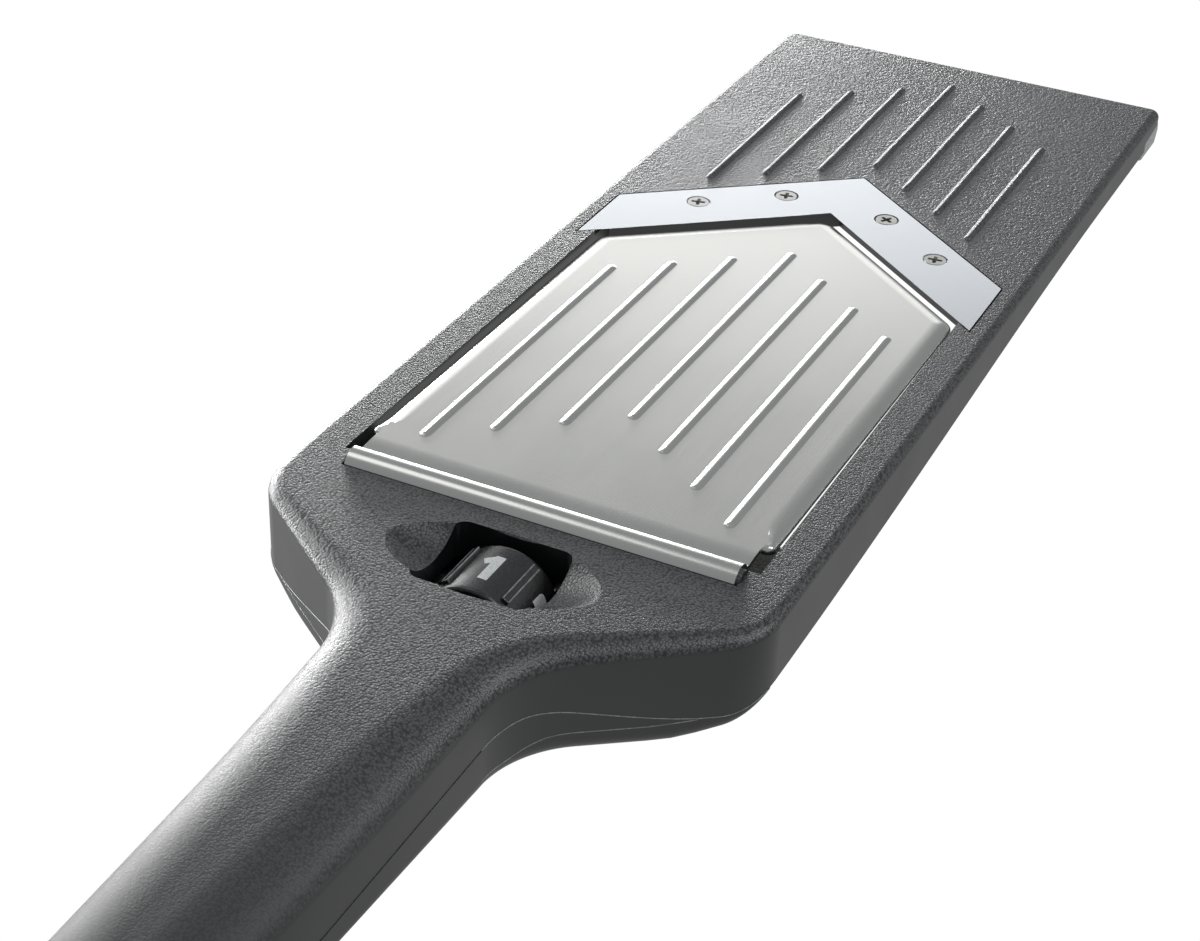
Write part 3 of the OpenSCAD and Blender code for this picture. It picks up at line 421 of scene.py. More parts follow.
def loft(name, rings, shape=to_model, paired=()):
    """A skin through rings; a cap named in paired (0 or -1) isn't flat, so strips across close it."""
    n = len(rings[0])
    points = [p for ring in rings for p in ring]
    faces = [(j * n + i, j * n + (i + 1) % n, (j + 1) * n + (i + 1) % n, (j + 1) * n + i)
             for j in range(len(rings) - 1) for i in range(n)]
    for cap, first in ((0, 0), (-1, (len(rings) - 1) * n)):
        if cap in paired:
            faces += [(first + i, first + i + 1, first + n - 2 - i, first + n - 1 - i)
                      for i in range(n // 2 - 1)]
        else:
            faces.append(tuple(range(first, first + n)))
    return solid(name, points, faces, shape)


def prism(name, outline, low, high):
    return loft(name, [[(x, y, z) for x, y in outline] for z in (low, high)])


def prism_across(name, profile, half, shape=to_model):
    return loft(name, [[(x, y, z) for y, z in profile] for x in (-half, half)], shape)


def block(name, low, high):
    (x0, y0, z0), (x1, y1, z1) = low, high
    return prism(name, [(x0, y0), (x1, y0), (x1, y1), (x0, y1)], z0, z1)


def rod_along(name, start, end, r, steps=72):
    return loft(name, [[(r * c, y, AXIS_Z + r * s) for c, s in circle(steps)] for y in (start, end)])


def rod_up(name, x, y, low, high, r, steps=48, top_r=None):
    ends = ((low, r), (high, r if top_r is None else top_r))
    return loft(name, [[(x + wide * c, y + wide * s, z) for c, s in circle(steps)] for z, wide in ends])


def baked(obj):
    """The object's shape with its modifiers, as its own plain mesh."""
    graph = bpy.context.evaluated_depsgraph_get()
    mesh = bpy.data.meshes.new_from_object(obj.evaluated_get(graph))
    obj.modifiers.clear()
    obj.data = mesh
    return obj


def carve(target, cutter, operation="DIFFERENCE"):
    change = target.modifiers.new("carve", "BOOLEAN")
    change.object = cutter
    change.operation = operation
    change.solver = "MANIFOLD"
    baked(target)
    bpy.data.objects.remove(cutter)
    return target


def join(target, piece):
    return carve(target, piece, "UNION")


def shift(obj, by):
    obj.data.transform(Matrix.Translation(by))


def soften(obj, width, angle=32, segments=2):
    """Small rounded edges, and normals that keep flat faces flat."""
    if width:
        edge = obj.modifiers.new("edge", "BEVEL")
        edge.width = width * MM
        edge.segments = segments
        edge.limit_method = "ANGLE"
        edge.angle_limit = radians(angle)
        edge.harden_normals = False
        baked(obj)
    obj.data.shade_smooth()
    obj.data.set_sharp_from_angle(angle=radians(angle))
    weigh = obj.modifiers.new("weigh", "WEIGHTED_NORMAL")
    weigh.keep_sharp = True
    weigh.weight = 100
    return baked(obj)


def dress(obj, material, body, slot_name, *nodes):
    obj.data.materials.clear()
    obj.data.materials.append(material)
    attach(obj, body)
    if nodes:
        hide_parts(*nodes)
    print(obj.name, "faces:", len(obj.data.polygons))
    return obj


# %% [markdown]
# The body's plan is one smooth line: far corner, side, shoulder arc, straight slope, hollow neck, handle and
# its round end. Only the right half is written, with the outward normal at each point, because the
# rounded top edge steps inwards along those normals while the height rises. That edge is small on the
# head and widens to a crown on the handle, and the parting line dips at the shoulders.

# %% Outline of the body
SHOULDER_R, NECK_R, NECK_HALF, END_R, CORNER_R = 13.5, 22, 16.3, 13.4, 2.6
SHOULDER_Y, TURN = -10, radians(54)
DIP_Y, THIN_Y = -22, -44
WALL_NEAR, WALL_FAR, WALL_DIP, WALL_THIN, WALL_END = 13.6, 7, 16.5, 11.6, 15.6
CROWN_RUN, COVER_DEEP = 90, 22.2


def arc(c, r, start, end, steps, side=1):
    angles = [mix(start, end, i / steps) for i in range(steps + 1)]
    return [(c[0] + side * r * cos(a), c[1] + side * r * sin(a), cos(a), sin(a)) for a in angles]


shoulder_c = (HALF_W - SHOULDER_R, SHOULDER_Y)
shoulder_end = (shoulder_c[0] + SHOULDER_R * cos(TURN), shoulder_c[1] - SHOULDER_R * sin(TURN))
neck_x = NECK_HALF + NECK_R * (1 - cos(TURN))
neck_y = shoulder_end[1] - (shoulder_end[0] - neck_x) * tan(pi / 2 - TURN)
neck_c = (NECK_HALF + NECK_R, neck_y - NECK_R * sin(TURN))
end_c = (0, -HANDLE_LEN + END_R)


def between(a, b, steps, normal):
    return [(mix(a[0], b[0], i / steps), mix(a[1], b[1], i / steps), *normal) for i in range(1, steps)]


half_outline = (
    arc((HALF_W - CORNER_R, HEAD_LEN - CORNER_R), CORNER_R, pi / 2, 0, 10)
    + between((HALF_W, HEAD_LEN - CORNER_R), (HALF_W, SHOULDER_Y), 40, (1, 0))
    + arc(shoulder_c, SHOULDER_R, 0, -TURN, 22)
    + between(shoulder_end, (neck_x, neck_y), 6, (cos(TURN), -sin(TURN)))
    + arc(neck_c, NECK_R, -TURN, 0, 22, -1)
    + between((NECK_HALF, neck_c[1]), (END_R, end_c[1]), 24, (1, 0))
    + arc(end_c, END_R, 0, -radians(88), 24))


def both_sides(ring):
    return ring + [(-p[0], *p[1:]) for p in reversed(ring)]


def ring_of(outline, step_in, height):
    """A ring on both sides of the tool; the step inwards and the height are functions of y."""
    return both_sides([(x - step_in(y) * nx, y - step_in(y) * ny, height(y)) for x, y, nx, ny in outline])


def edge_reach(y):
    """How far the rounded top edge steps inwards: little on the head, wide on the handle."""
    return mix(2, 12.2, smooth((2 - y) / CROWN_RUN))


def edge_fall(y):
    """How far that edge drops below the top face."""
    return mix(1.8, 7, smooth(-y / CROWN_RUN))


def lower_edge(y):
    """Height of the wall's lower edge: head, dip at the shoulders, neck and handle."""
    if y > SHOULDER_Y:
        return -mix(WALL_NEAR, WALL_FAR, smooth((y - SHOULDER_Y) / 200))
    if y > DIP_Y:
        return -mix(WALL_NEAR, WALL_DIP, smooth((SHOULDER_Y - y) / (SHOULDER_Y - DIP_Y)))
    if y > THIN_Y:
        return -mix(WALL_DIP, WALL_THIN, smooth((DIP_Y - y) / (DIP_Y - THIN_Y)))
    return -mix(WALL_THIN, WALL_END, min(1, (THIN_Y - y) / 57))


def cover_low(y):
    """Height of the cover's bottom."""
    return -mix(WALL_NEAR, COVER_DEEP, smooth((-7.5 - y) / 20))


def inset(outline, d):
    return [(p[0] - d * p[2], p[1] - d * p[3]) for p in outline]


print("outline points:", 2 * len(half_outline))

# %% Body skin
EDGE_STEPS = 14
rings = []
for k in range(EDGE_STEPS, -1, -1):
    a = pi / 2 * k / EDGE_STEPS
    rings.append(ring_of(half_outline, lambda y: edge_reach(y) * (1 - cos(a)),
                         lambda y: -edge_fall(y) * (1 - sin(a))))
rings.append(ring_of(half_outline, lambda y: 0, lower_edge))
body = loft("body", rings, paired=(-1,))
print("body skin:", len(body.data.vertices), "points")

# %% [markdown]
# The cuts come next, in the order in which a mould maker would think of them: the window with its V-shaped
# seat, the hollows below, the hinge groove with its bead, the blade's recess, and last the thumb
# scoop with the wheel's opening. A skirt below the seat and small ribs below the crossbar keep light from
# showing through. Small rounded edges are added when all cuts are done.

# %% Window and hollows
WINDOW_HALF = 86.3 / 2
BLADE_HALF, BLADE_APEX, BLADE_ARM, BLADE_T = 46.4, 163.5, 16.7, 1.2
BLADE_INNER = BLADE_APEX - BLADE_ARM / cos(V_ANGLE)
OVERHANG, SCREW_IN, SCREW_XS = 5.5, 6.3, (-29, -12.45, 12.45, 29)
SEAT_APEX = BLADE_INNER + OVERHANG / cos(V_ANGLE)
HINGE_Y, HINGE_Z = -2.1, -1.2
FOOT_START = HEAD_LEN - 15
screw_points = [(x, BLADE_APEX - SCREW_IN / cos(V_ANGLE) - abs(x) * V_SLOPE) for x in SCREW_XS]
WALL, TOP_T, HANG_R = 2.6, 4.45, 4
INSERT_R, INSERT_LOW, INSERT_BOSS_R, INSERT_BOSS_LOW = 2.35, -5.25, 3, -5.85
# Cutters start well below the body, end well above it and reach past its sides.
PAST, SIDE, DEEP, BELOW, ABOVE, HIGH = 40, 60, -50, -60, 10, 20


def v_band(outer, half, inner):
    """Outline of a V-shaped band; outer and inner are its edges on the middle line."""
    drop = half * V_SLOPE
    return [(0, outer), (half, outer - drop), (half, inner - drop), (0, inner), (-half, inner - drop),
            (-half, outer - drop)]


def turned_across(name, y, z, r, half, steps=64):
    return prism_across(name, [(y + r * c, z + r * s) for c, s in circle(steps)], half)


seat_end = SEAT_APEX - WINDOW_HALF * V_SLOPE
carve(body, prism("window", [(-WINDOW_HALF, 0), (WINDOW_HALF, 0), (WINDOW_HALF, seat_end), (0, SEAT_APEX),
                             (-WINDOW_HALF, seat_end)], -PAST, PAST))

hollow = both_sides(inset(half_outline, WALL))
shoulder_hollow = prism("shoulder_hollow", hollow, -PAST, -3.2)
carve(shoulder_hollow, block("shoulder_part", (-SIDE, -48.4, DEEP), (SIDE, -3.5, ABOVE)), "INTERSECT")
carve(shoulder_hollow, block("scoop_floor", (-24.1, -40, -7.4), (24.1, -8.75, ABOVE)))
carve(body, shoulder_hollow)
handle_hollow = prism("handle_hollow", hollow, -PAST, -7.5)
carve(handle_hollow, block("handle_part", (-SIDE, -170, DEEP), (SIDE, -47.4, ABOVE)), "INTERSECT")
carve(handle_hollow, rod_up("hang_post", 0, end_c[1], BELOW, ABOVE, HANG_R + WALL))
carve(body, handle_hollow)
landing_start = SEAT_APEX - 1
pocket_half = HALF_W - WALL - 1
pocket_end = landing_start - pocket_half * V_SLOPE
pocket_far = FOOT_START - WALL
pocket = prism("landing_pocket", [(0, landing_start), (pocket_half, pocket_end), (pocket_half, pocket_far),
                                  (-pocket_half, pocket_far), (-pocket_half, pocket_end)], -PAST, -TOP_T)
for x, y in screw_points:
    carve(pocket, rod_up("screw_boss", x, y, INSERT_BOSS_LOW, ABOVE, INSERT_BOSS_R))
carve(body, pocket)
skirt = v_band(SEAT_APEX + 1.6, WINDOW_HALF + 2, SEAT_APEX)
join(body, prism("seat_skirt", skirt, -6.5, -TOP_T + 0.1))
rail = HALF_W - WINDOW_HALF
channel_w = rail - 2 * WALL + 1
for side in (-1, 1):
    middle = side * (HALF_W - rail / 2)
    carve(body, block("rail_channel", (middle - channel_w / 2, WALL, -PAST),
                      (middle + channel_w / 2, SEAT_APEX - HALF_W * V_SLOPE - WALL, -TOP_T)))
print("after the hollows:", len(body.data.polygons), "faces")

# %% Hinge groove, bead and bosses
GROOVE_R, GROOVE_HALF, BEAD_R, BEAD_HALF, BOSS_R, BORE_R = 3.55, 40.8, 2.3, 40.9, 6, 3.65


def on_both_sides(name, inner, outer, low, high):
    """The same box on the left and on the right, joined to the body."""
    for side in (-1, 1):
        left, right = sorted((side * inner, side * outer))
        join(body, block(name, (left, *low), (right, *high)))


carve(body, turned_across("hinge_groove", HINGE_Y, HINGE_Z, GROOVE_R, GROOVE_HALF))
join(body, turned_across("hinge_bead", HINGE_Y, HINGE_Z, BEAD_R, BEAD_HALF))
join(body, block("bead_neck", (-BEAD_HALF, -3.5, -5.75), (BEAD_HALF, -0.6, HINGE_Z)))
on_both_sides("crossbar_rib", 3, 16.4, (-3.5, -15.2), (-0.5, -13))
join(body, rod_along("rear_boss", -36.35, -32.35, BOSS_R))
join(body, rod_along("front_boss", -7, 0, BOSS_R))
on_both_sides("corner_ledge", WINDOW_HALF - 11, WINDOW_HALF + 1, (-1, -7.6), (16, -4.6))
for start, end in ((-40, -30), (-8, 1)):
    carve(body, rod_along("bush_bore", start, end, BORE_R))
print("with its hinge:", len(body.data.polygons), "faces")

# %% Blade recess, screw holes, scoop and opening
SCOOP_MID, SCOOP_W, SCOOP_L, SCOOP_D = -20.6, 43, 20.7, 5
RECESS_GAP, RECESS_UNDER = 0.4, 0.05
recess_step = RECESS_GAP / cos(V_ANGLE)
carve(body, prism("blade_recess", v_band(BLADE_APEX + recess_step, BLADE_HALF + RECESS_GAP,
                                         BLADE_INNER - recess_step), -BLADE_T - RECESS_UNDER, PAST))
for x, y in screw_points:
    carve(body, rod_up("insert_hole", x, y, INSERT_LOW, ABOVE, INSERT_R))

scoop_lift = ((SCOOP_L / 2) ** 2 - SCOOP_D ** 2) / (2 * SCOOP_D)
scoop_bow = (SCOOP_W ** 2 / 4 + SCOOP_D ** 2) / (2 * SCOOP_D)
deepest = scoop_lift + SCOOP_D
scoop_rings = []
for i in range(49):
    x = mix(-SCOOP_W / 2 + 0.01, SCOOP_W / 2 - 0.01, i / 48)
    reach = deepest - scoop_bow + sqrt(scoop_bow ** 2 - x ** 2)
    scoop_rings.append([(x, SCOOP_MID + reach * c, scoop_lift + reach * s) for c, s in circle(96)])
carve(body, loft("thumb_scoop", scoop_rings))

OPEN_W, OPEN_L, OPEN_R = 24, 20, 2.5
opening = []
for cx, cy, start in ((1, 1, 0), (-1, 1, pi / 2), (-1, -1, pi), (1, -1, 3 * pi / 2)):
    corner = (cx * (OPEN_W / 2 - OPEN_R), SCOOP_MID + cy * (OPEN_L / 2 - OPEN_R))
    opening += [p[:2] for p in arc(corner, OPEN_R, start, start + pi / 2, 8)]
carve(body, prism("wheel_opening", opening, -HIGH, HIGH))
carve(body, rod_up("hang_hole", 0, end_c[1], -PAST, HIGH, HANG_R))
carve(body, prism_across("foot_seat", [(FOOT_START + 2, -4.6), (HEAD_LEN, -3.3), (HEAD_LEN + PAST, -3.3),
                                       (HEAD_LEN + PAST, -PAST), (FOOT_START, -PAST)], HALF_W + 1))
soften(body, 0.22)
dress(body, body_plastic, "frame", "body_plastic", "body_shell")

# %% [markdown]
# Ribs repeat by a rule, so one Geometry Nodes tree makes them all: a row of points whose start follows
# the V, and on each a soft pillow whose height falls off with the distance from a middle line. The same
# tree gives the moulded ribs of the landing and the pressed ribs of the steel ramp.

# %% Helpers for Geometry Nodes
def geometry_tree(name, inputs):
    return node_group("GeometryNodeTree", name, inputs, ["Geometry"], "NodeSocketGeometry")


def repeat_on(tree, got, give, points, shape, turn=None):
    """The end of every tree here: the shape on each point, made real and painted."""
    repeat = add(tree, "GeometryNodeInstanceOnPoints", {"Points": points, "Instance": shape,
                                                        "Rotation": turn})
    real = add(tree, "GeometryNodeRealizeInstances", {"Geometry": repeat.outputs["Instances"]})
    paint = add(tree, "GeometryNodeSetMaterial", {"Geometry": real.outputs["Geometry"],
                                                  "Material": got.outputs["Paint"]})
    feed(tree, give, {"Geometry": paint.outputs["Geometry"]})


def points_in_place(tree, got):
    """As many points as the tree's Count says, all on one spot, and their numbers."""
    row = add(tree, "GeometryNodeMeshLine", {"Count": got.outputs["Count"], "Offset": (0, 0, 0)})
    return row.outputs["Mesh"], add(tree, "GeometryNodeInputIndex").outputs[0]


def moved(tree, geometry, x, y, z=None):
    place = add(tree, "ShaderNodeCombineXYZ", {"X": x, "Y": y, "Z": z})
    return add(tree, "GeometryNodeSetPosition", {"Geometry": geometry,
                                                 "Position": place.outputs[0]}).outputs["Geometry"]


def grown(name, tree, **values):
    """An object made by a Geometry Nodes tree, turned into a plain mesh."""
    obj = in_scene(name, bpy.data.meshes.new(name))
    change = obj.modifiers.new("grow", "NODES")
    change.node_group = tree
    names = {s.name: s.identifier for s in tree.interface.items_tree if s.in_out == "INPUT"}
    for label, value in values.items():
        change[names[label]] = value
    obj.data.update()
    return baked(obj)


# %% Rib tree
RIB_COUNT, RIB_PITCH = 7, 10.7
RIB_REACH, RIB_OVER, RIB_SINK = 0.72, 0.25, 0.00002
rib_tree, got, give = geometry_tree("rib_row", {
    "Count": (COUNT, RIB_COUNT), "Pitch": (NUMBER, RIB_PITCH * MM), "Start": (NUMBER, 0),
    "Slope": (NUMBER, V_SLOPE), "Length": (NUMBER, 0.08), "Width": (NUMBER, 0.003), "Height": (NUMBER, 0.001),
    "Fullness": (NUMBER, 1), "Paint": (PAINT, None)})
length, width = got.outputs["Length"], got.outputs["Width"]
points, index = points_in_place(rib_tree, got)
middle = times(minus(got.outputs["Count"], 1), 0.5)
rib_x = times(minus(index, middle), got.outputs["Pitch"])
back = times(calc("ABSOLUTE", rib_x), got.outputs["Slope"])
rib_y = plus(minus(got.outputs["Start"], back), times(length, 0.5))

pillow = add(rib_tree, "GeometryNodeMeshGrid", {"Size X": 2, "Size Y": 2, "Vertices X": 27,
                                                "Vertices Y": 121})
grid = axes(add(rib_tree, "GeometryNodeInputPosition").outputs[0])
reach = times(width, RIB_REACH)
half_len = plus(times(length, 0.5), times(width, RIB_OVER))
grid_x = times(grid["X"], reach)
grid_y = times(calc("SINE", times(grid["Y"], pi / 2)), half_len)
past_end = calc("MAXIMUM", minus(calc("ABSOLUTE", grid_y), minus(half_len, reach)), 0)
away = calc("SQRT", plus(times(grid_x, grid_x), times(past_end, past_end)))
wave = calc("COSINE", times(calc("MINIMUM", calc("DIVIDE", away, reach), 1), pi))
fall = calc("POWER", times(plus(wave, 1), 0.5), got.outputs["Fullness"])
rise = minus(times(fall, got.outputs["Height"]), RIB_SINK)
shaped = moved(rib_tree, pillow.outputs["Mesh"], grid_x, grid_y, rise)
even = add(rib_tree, "GeometryNodeSetShadeSmooth", {"Geometry": shaped})
repeat_on(rib_tree, got, give, moved(rib_tree, points, rib_x, rib_y), even.outputs["Geometry"])
print("rib tree:", len(rib_tree.nodes), "nodes")

# %% Ribs of the landing
def rib_row(name, paint, fullness, **sizes):
    """A row of ribs that follows the V; the sizes are in millimetres."""
    metres = {label: value * MM for label, value in sizes.items()}
    return grown(name, rib_tree, Count=RIB_COUNT, Slope=V_SLOPE, Fullness=fullness, Paint=paint, **metres)


landing_ribs = rib_row("landing_ribs", body_plastic, 0.8, Pitch=RIB_PITCH, Start=171.2, Length=56.5,
                       Width=1.6, Height=0.7)
shift(landing_ribs, ORIGIN)
dress(landing_ribs, body_plastic, "frame", "body_plastic")

# %% [markdown]
# The lower cover closes the handle and the shoulders from below, and runs out to nothing at the shoulders. It
# stands a hair proud of the body down to a crease, where its rounded bottom starts. A thin light bead runs
# along the joint and another along the crease; their light colour is a painted highlight, a fine light line.

# %% Lower cover
PROUD, COVER_R, COVER_FRONT = 0.1, 3.2, -12
HOUSING_FAR, HOUSING_TOP, HOUSING_R, WHEEL_ROOM_R = -8, -12.9, 12.8, 11.1
POST_R, POST_GAP, SCREW_HOLE_R, SCREW_HEAD_R = 4.2, 0.25, 1.7, 3
cover_half = [p for p in half_outline if p[1] < COVER_FRONT]


def cover_round(y):
    return min(COVER_R, 0.8 * (lower_edge(y) - cover_low(y)))


def cover_skin(name, d, floor, top_gap, proud=0):
    made = [ring_of(cover_half, lambda y: d - proud, lambda y: lower_edge(y) - top_gap)]
    if proud:
        made.append(ring_of(cover_half, lambda y: d - proud, lambda y: cover_low(y) + cover_round(y) + 0.1))
    for k in range(13):
        a = pi / 2 * k / 12
        made.append(ring_of(cover_half, lambda y: d + cover_round(y) * (1 - cos(a)),
                            lambda y: cover_low(y) + floor + cover_round(y) * (1 - sin(a))))
    return loft(name, made, paired=(0, -1))


cover = cover_skin("cover", 0, 0, 0.12, PROUD)
cover_inside = cover_skin("cover_inside", WALL, 2, -2)
cover_posts = [(30, -25), (-30, -25), (0, -66), (0, -118)]
for x, y in cover_posts:
    carve(cover_inside, rod_up("post", x, y, BELOW, lower_edge(y) - POST_GAP, POST_R))
carve(cover_inside, rod_up("hang_post", 0, end_c[1], BELOW, lower_edge(end_c[1]) - POST_GAP, HANG_R + WALL))
carve(cover, cover_inside)
front_panel = prism("front_panel", both_sides(inset(half_outline, WALL + 0.35)), cover_low(COVER_FRONT),
                    lower_edge(COVER_FRONT) + 2)
carve(front_panel, block("front_part", (-SIDE, COVER_FRONT - 4, BELOW), (SIDE, -3.85, ABOVE)), "INTERSECT")
carve(front_panel, block("screw_boss_room", (-16.45, -7.35, -14.3), (16.45, 10, ABOVE)))
carve(front_panel, block("bush_boss_room", (-6.35, -7.35, BELOW), (6.35, 10, ABOVE)))
join(cover, front_panel)
housing = rod_along("housing", -38.95, HOUSING_FAR, HOUSING_R, 96)
carve(housing, block("housing_part", (-PAST, -60, LOW_Z), (PAST, 0, HOUSING_TOP)), "INTERSECT")
join(cover, housing)
carve(cover, rod_along("wheel_room", -37.35, HOUSING_FAR - 1.7, WHEEL_ROOM_R, 96))
carve(cover, rod_along("shaft_room", -13.25, 0, 3))
for x, y in cover_posts:
    carve(cover, rod_up("screw_hole", x, y, BELOW, ABOVE, SCREW_HOLE_R))
    carve(cover, rod_up("head_room", x, y, BELOW, lower_edge(y) - 2.4, SCREW_HEAD_R))
carve(cover, rod_up("hang_hole", 0, end_c[1], -PAST, HIGH, HANG_R))
soften(cover, 0.1)
dress(cover, body_plastic, "frame", "body_plastic", "lower_cover")

# %% Painted highlight lines along the joint and along the crease below it
HIGHLIGHT_START, HIGHLIGHT_END, JOINT_R, CREASE_R = -21, -54, 0.12, 0.15


def crease_line(y):
    return lower_edge(HIGHLIGHT_START) - 0.9 * smooth((HIGHLIGHT_START - y) / 8) - 1.5 * smooth((-38 - y) / 10)


def highlight_bead(points, side, r, line):
    rings = []
    for x, y, nx, ny in points:
        z = line(y) - 0.05
        rings.append([(side * (x + r * c * nx), y + r * c * ny, z + r * s) for c, s in circle(8)])
    return loft("flash", rings)


joint_points = [p for p in half_outline if HIGHLIGHT_END < p[1] < COVER_FRONT]
crease_points = [p for p in joint_points if p[1] < HIGHLIGHT_START]
# Both beads are painted light grey: painted highlight lines on the joint and on the crease.
flash = highlight_bead(joint_points, 1, JOINT_R, lower_edge)
for bead in ((joint_points, -1, JOINT_R, lower_edge), (crease_points, 1, CREASE_R, crease_line),
             (crease_points, -1, CREASE_R, crease_line)):
    join(flash, highlight_bead(*bead))
soften(flash, 0, 60)
dress(flash, painted_highlight_plastic, "frame", "body_plastic")

# %% [markdown]
# The blade is one flat V of ground steel with countersunk holes and a bevel below its cutting edge. Four
# cross-recess screws hold it. They repeat, so one screw is made and Geometry Nodes place it on four
# points, each turned at random with a fixed seed, as a screwdriver leaves them.

# %% Blade
SHANK_R, SINK_R, BEVEL_RUN, EDGE_Z = 1.7, 2.86, 2.2, -0.02
blade = prism("blade", v_band(BLADE_APEX, BLADE_HALF, BLADE_INNER), -BLADE_T, 0)
for x, y in screw_points:
    carve(blade, rod_up("shank_hole", x, y, -5, 5, SHANK_R))
    carve(blade, rod_up("countersink", x, y, -1.15, -0.85, SHANK_R, 64, SINK_R))
    carve(blade, rod_up("counterbore", x, y, -0.86, 0.01, SINK_R, 64))
under = -BLADE_T - 0.01
for side in (-1, 1):
    wedge = [[(side * (x * cos(V_ANGLE) + out * sin(V_ANGLE)),
               BLADE_INNER - x * sin(V_ANGLE) + out * cos(V_ANGLE), z)
              for out, z in ((-5, under), (BEVEL_RUN, under), (-0.1, EDGE_Z), (-5, EDGE_Z))]
             for x in (-20, 80)]
    carve(blade, loft("edge_bevel", wedge))
soften(blade, 0.06, 25)
dress(blade, blade_steel, "frame", "blade_steel", "v_blade")

# %% Blade screws
HEAD_R, SCREW_R, SLOT_HALF, SLOT_W = 2.64, 1.5, 1.65, 0.42
screw = rod_up("screw", 0, 0, -1.05, -0.18, SCREW_R, 64, HEAD_R - 0.12)
join(screw, rod_up("screw_top", 0, 0, -0.19, -0.02, HEAD_R - 0.13, 64, HEAD_R - 0.2))
join(screw, rod_up("screw_shank", 0, 0, -4.6, -0.5, SCREW_R, 32))
for turn in (0, pi / 2):
    rings = []
    for z, grow in ((-2, 0.62), (0.2, 1)):
        half, wide = SLOT_HALF * grow, SLOT_W * (0.5 + 0.5 * grow)
        corners = [(-half, -wide), (half, -wide), (half, wide), (-half, wide)]
        rings.append([(x * cos(turn) - y * sin(turn), x * sin(turn) + y * cos(turn), z) for x, y in corners])
    carve(screw, loft("cross", rings))
soften(screw, 0.05, 30)
shift(screw, -ORIGIN)

SCREW_SEED = 4
screw_tree, got, give = geometry_tree("screw_set", {
    "Places": (SHAPE, None), "Screw": (SHAPE, None), "Seed": (COUNT, SCREW_SEED), "Paint": (PAINT, None)})
places = add(screw_tree, "GeometryNodeObjectInfo", {"Object": got.outputs["Places"]})
part = add(screw_tree, "GeometryNodeObjectInfo", {"Object": got.outputs["Screw"]})
turn = add(screw_tree, "FunctionNodeRandomValue", {0: (0, 0, 0), 1: (0, 0, pi / 2),
                                                   "Seed": got.outputs["Seed"]}, data_type="FLOAT_VECTOR")
repeat_on(screw_tree, got, give, places.outputs["Geometry"], part.outputs["Geometry"], turn.outputs[0])
screw_places = in_scene("screw_places", bpy.data.meshes.new("screw_places"))
screw_places.data.from_pydata([to_model((x, y, 0)) for x, y in screw_points], [], [])
screws = grown("blade_screw_set", screw_tree, Places=screw_places, Screw=screw, Seed=SCREW_SEED,
               Paint=screw_steel)
for helper in (screw, screw_places):
    bpy.data.objects.remove(helper)
dress(screws, screw_steel, "frame", "screw_steel", "blade_screws")

# %% [markdown]
# The ramp is sheet steel: a flat field with rolled-down edges, a V-shaped far end and, at the handle, a
# rolled lip that hooks over a bead on the body. It hangs in its own tilted frame about that bead, so
# it is written flat and set on the slope by one function.

# %% Ramp plate
PLATE_HALF, PLATE_APEX, PLATE_NEAR, SHEET = 42.2, 140.8, 7.6, 0.8
ROLL_W, ROLL_D = 4.2, 1.5
PLATE_RISE, LIP_HALF, TILT = 1.6, 40.2, radians(0.46)


def on_plate(p):
    """From the flat plate to the model: turned about the bead by the slope of the ramp."""
    y, z = p[1] - HINGE_Y, p[2] + PLATE_RISE
    return to_model((p[0], HINGE_Y + y * cos(TILT) + z * sin(TILT), HINGE_Z - y * sin(TILT) + z * cos(TILT)))


FAR_R, NEAR_R = 4.5, 1.5
away = pi / 2 - V_ANGLE
side_c = (PLATE_HALF - FAR_R, PLATE_APEX - PLATE_HALF * V_SLOPE - FAR_R * tan(away / 2))
apex_c = (0, PLATE_APEX - FAR_R / cos(V_ANGLE))
apex_arc = arc(apex_c, FAR_R, radians(89), away, 8)
side_arc = arc(side_c, FAR_R, away, 0, 14)
plate_half = (apex_arc + between(apex_arc[-1], side_arc[0], 20, (cos(away), sin(away))) + side_arc
              + between((PLATE_HALF, side_c[1]), (PLATE_HALF, PLATE_NEAR + NEAR_R), 40, (1, 0))
              + arc((PLATE_HALF - NEAR_R, PLATE_NEAR + NEAR_R), NEAR_R, 0, -radians(86), 8)
              + [(LIP_HALF - 6, PLATE_NEAR, 0, -1)])


def roll_at(y):
    return mix(1, ROLL_W, smooth((y - PLATE_NEAR - 0.5) / 7))


def plate_ring(a, less):
    return ring_of(plate_half, lambda y: roll_at(y) - (roll_at(y) - less) * cos(a),
                   lambda y: (ROLL_D - less) * sin(a) - ROLL_D)


sheet_angles = [pi / 2 * k / 10 for k in range(11)]
plate = loft("plate", [plate_ring(a, 0) for a in reversed(sheet_angles)]
             + [plate_ring(a, SHEET) for a in sheet_angles], on_plate)
print("flat field:", len(plate.data.vertices), "points")

# %% Rolled lip of the plate
LIP_R, TROUGH_R, BEND_R = 2.8, 1.4, 30
lip_start, arch_end, ramp = radians(172), radians(33), radians(6)
trough_c = ((LIP_R + TROUGH_R) * cos(arch_end), (LIP_R + TROUGH_R) * sin(arch_end))
flat_z = PLATE_RISE - SHEET / 2
ramp_foot = (trough_c[0] + TROUGH_R * sin(ramp), trough_c[1] - TROUGH_R * cos(ramp))
crease = ramp_foot[0] + (flat_z - ramp_foot[1]) / tan(ramp)
bend_c = (crease + BEND_R * tan(ramp / 2), flat_z - BEND_R)
path = (arc((0, 0), LIP_R, lip_start, arch_end, 37)[:-1]
        + arc(trough_c, TROUGH_R, arch_end, pi / 2 + ramp, 16, -1)
        + arc(bend_c, BEND_R, pi / 2 + ramp, pi / 2, 8) + [(bend_c[0] + 6, flat_z, 0, 1)])
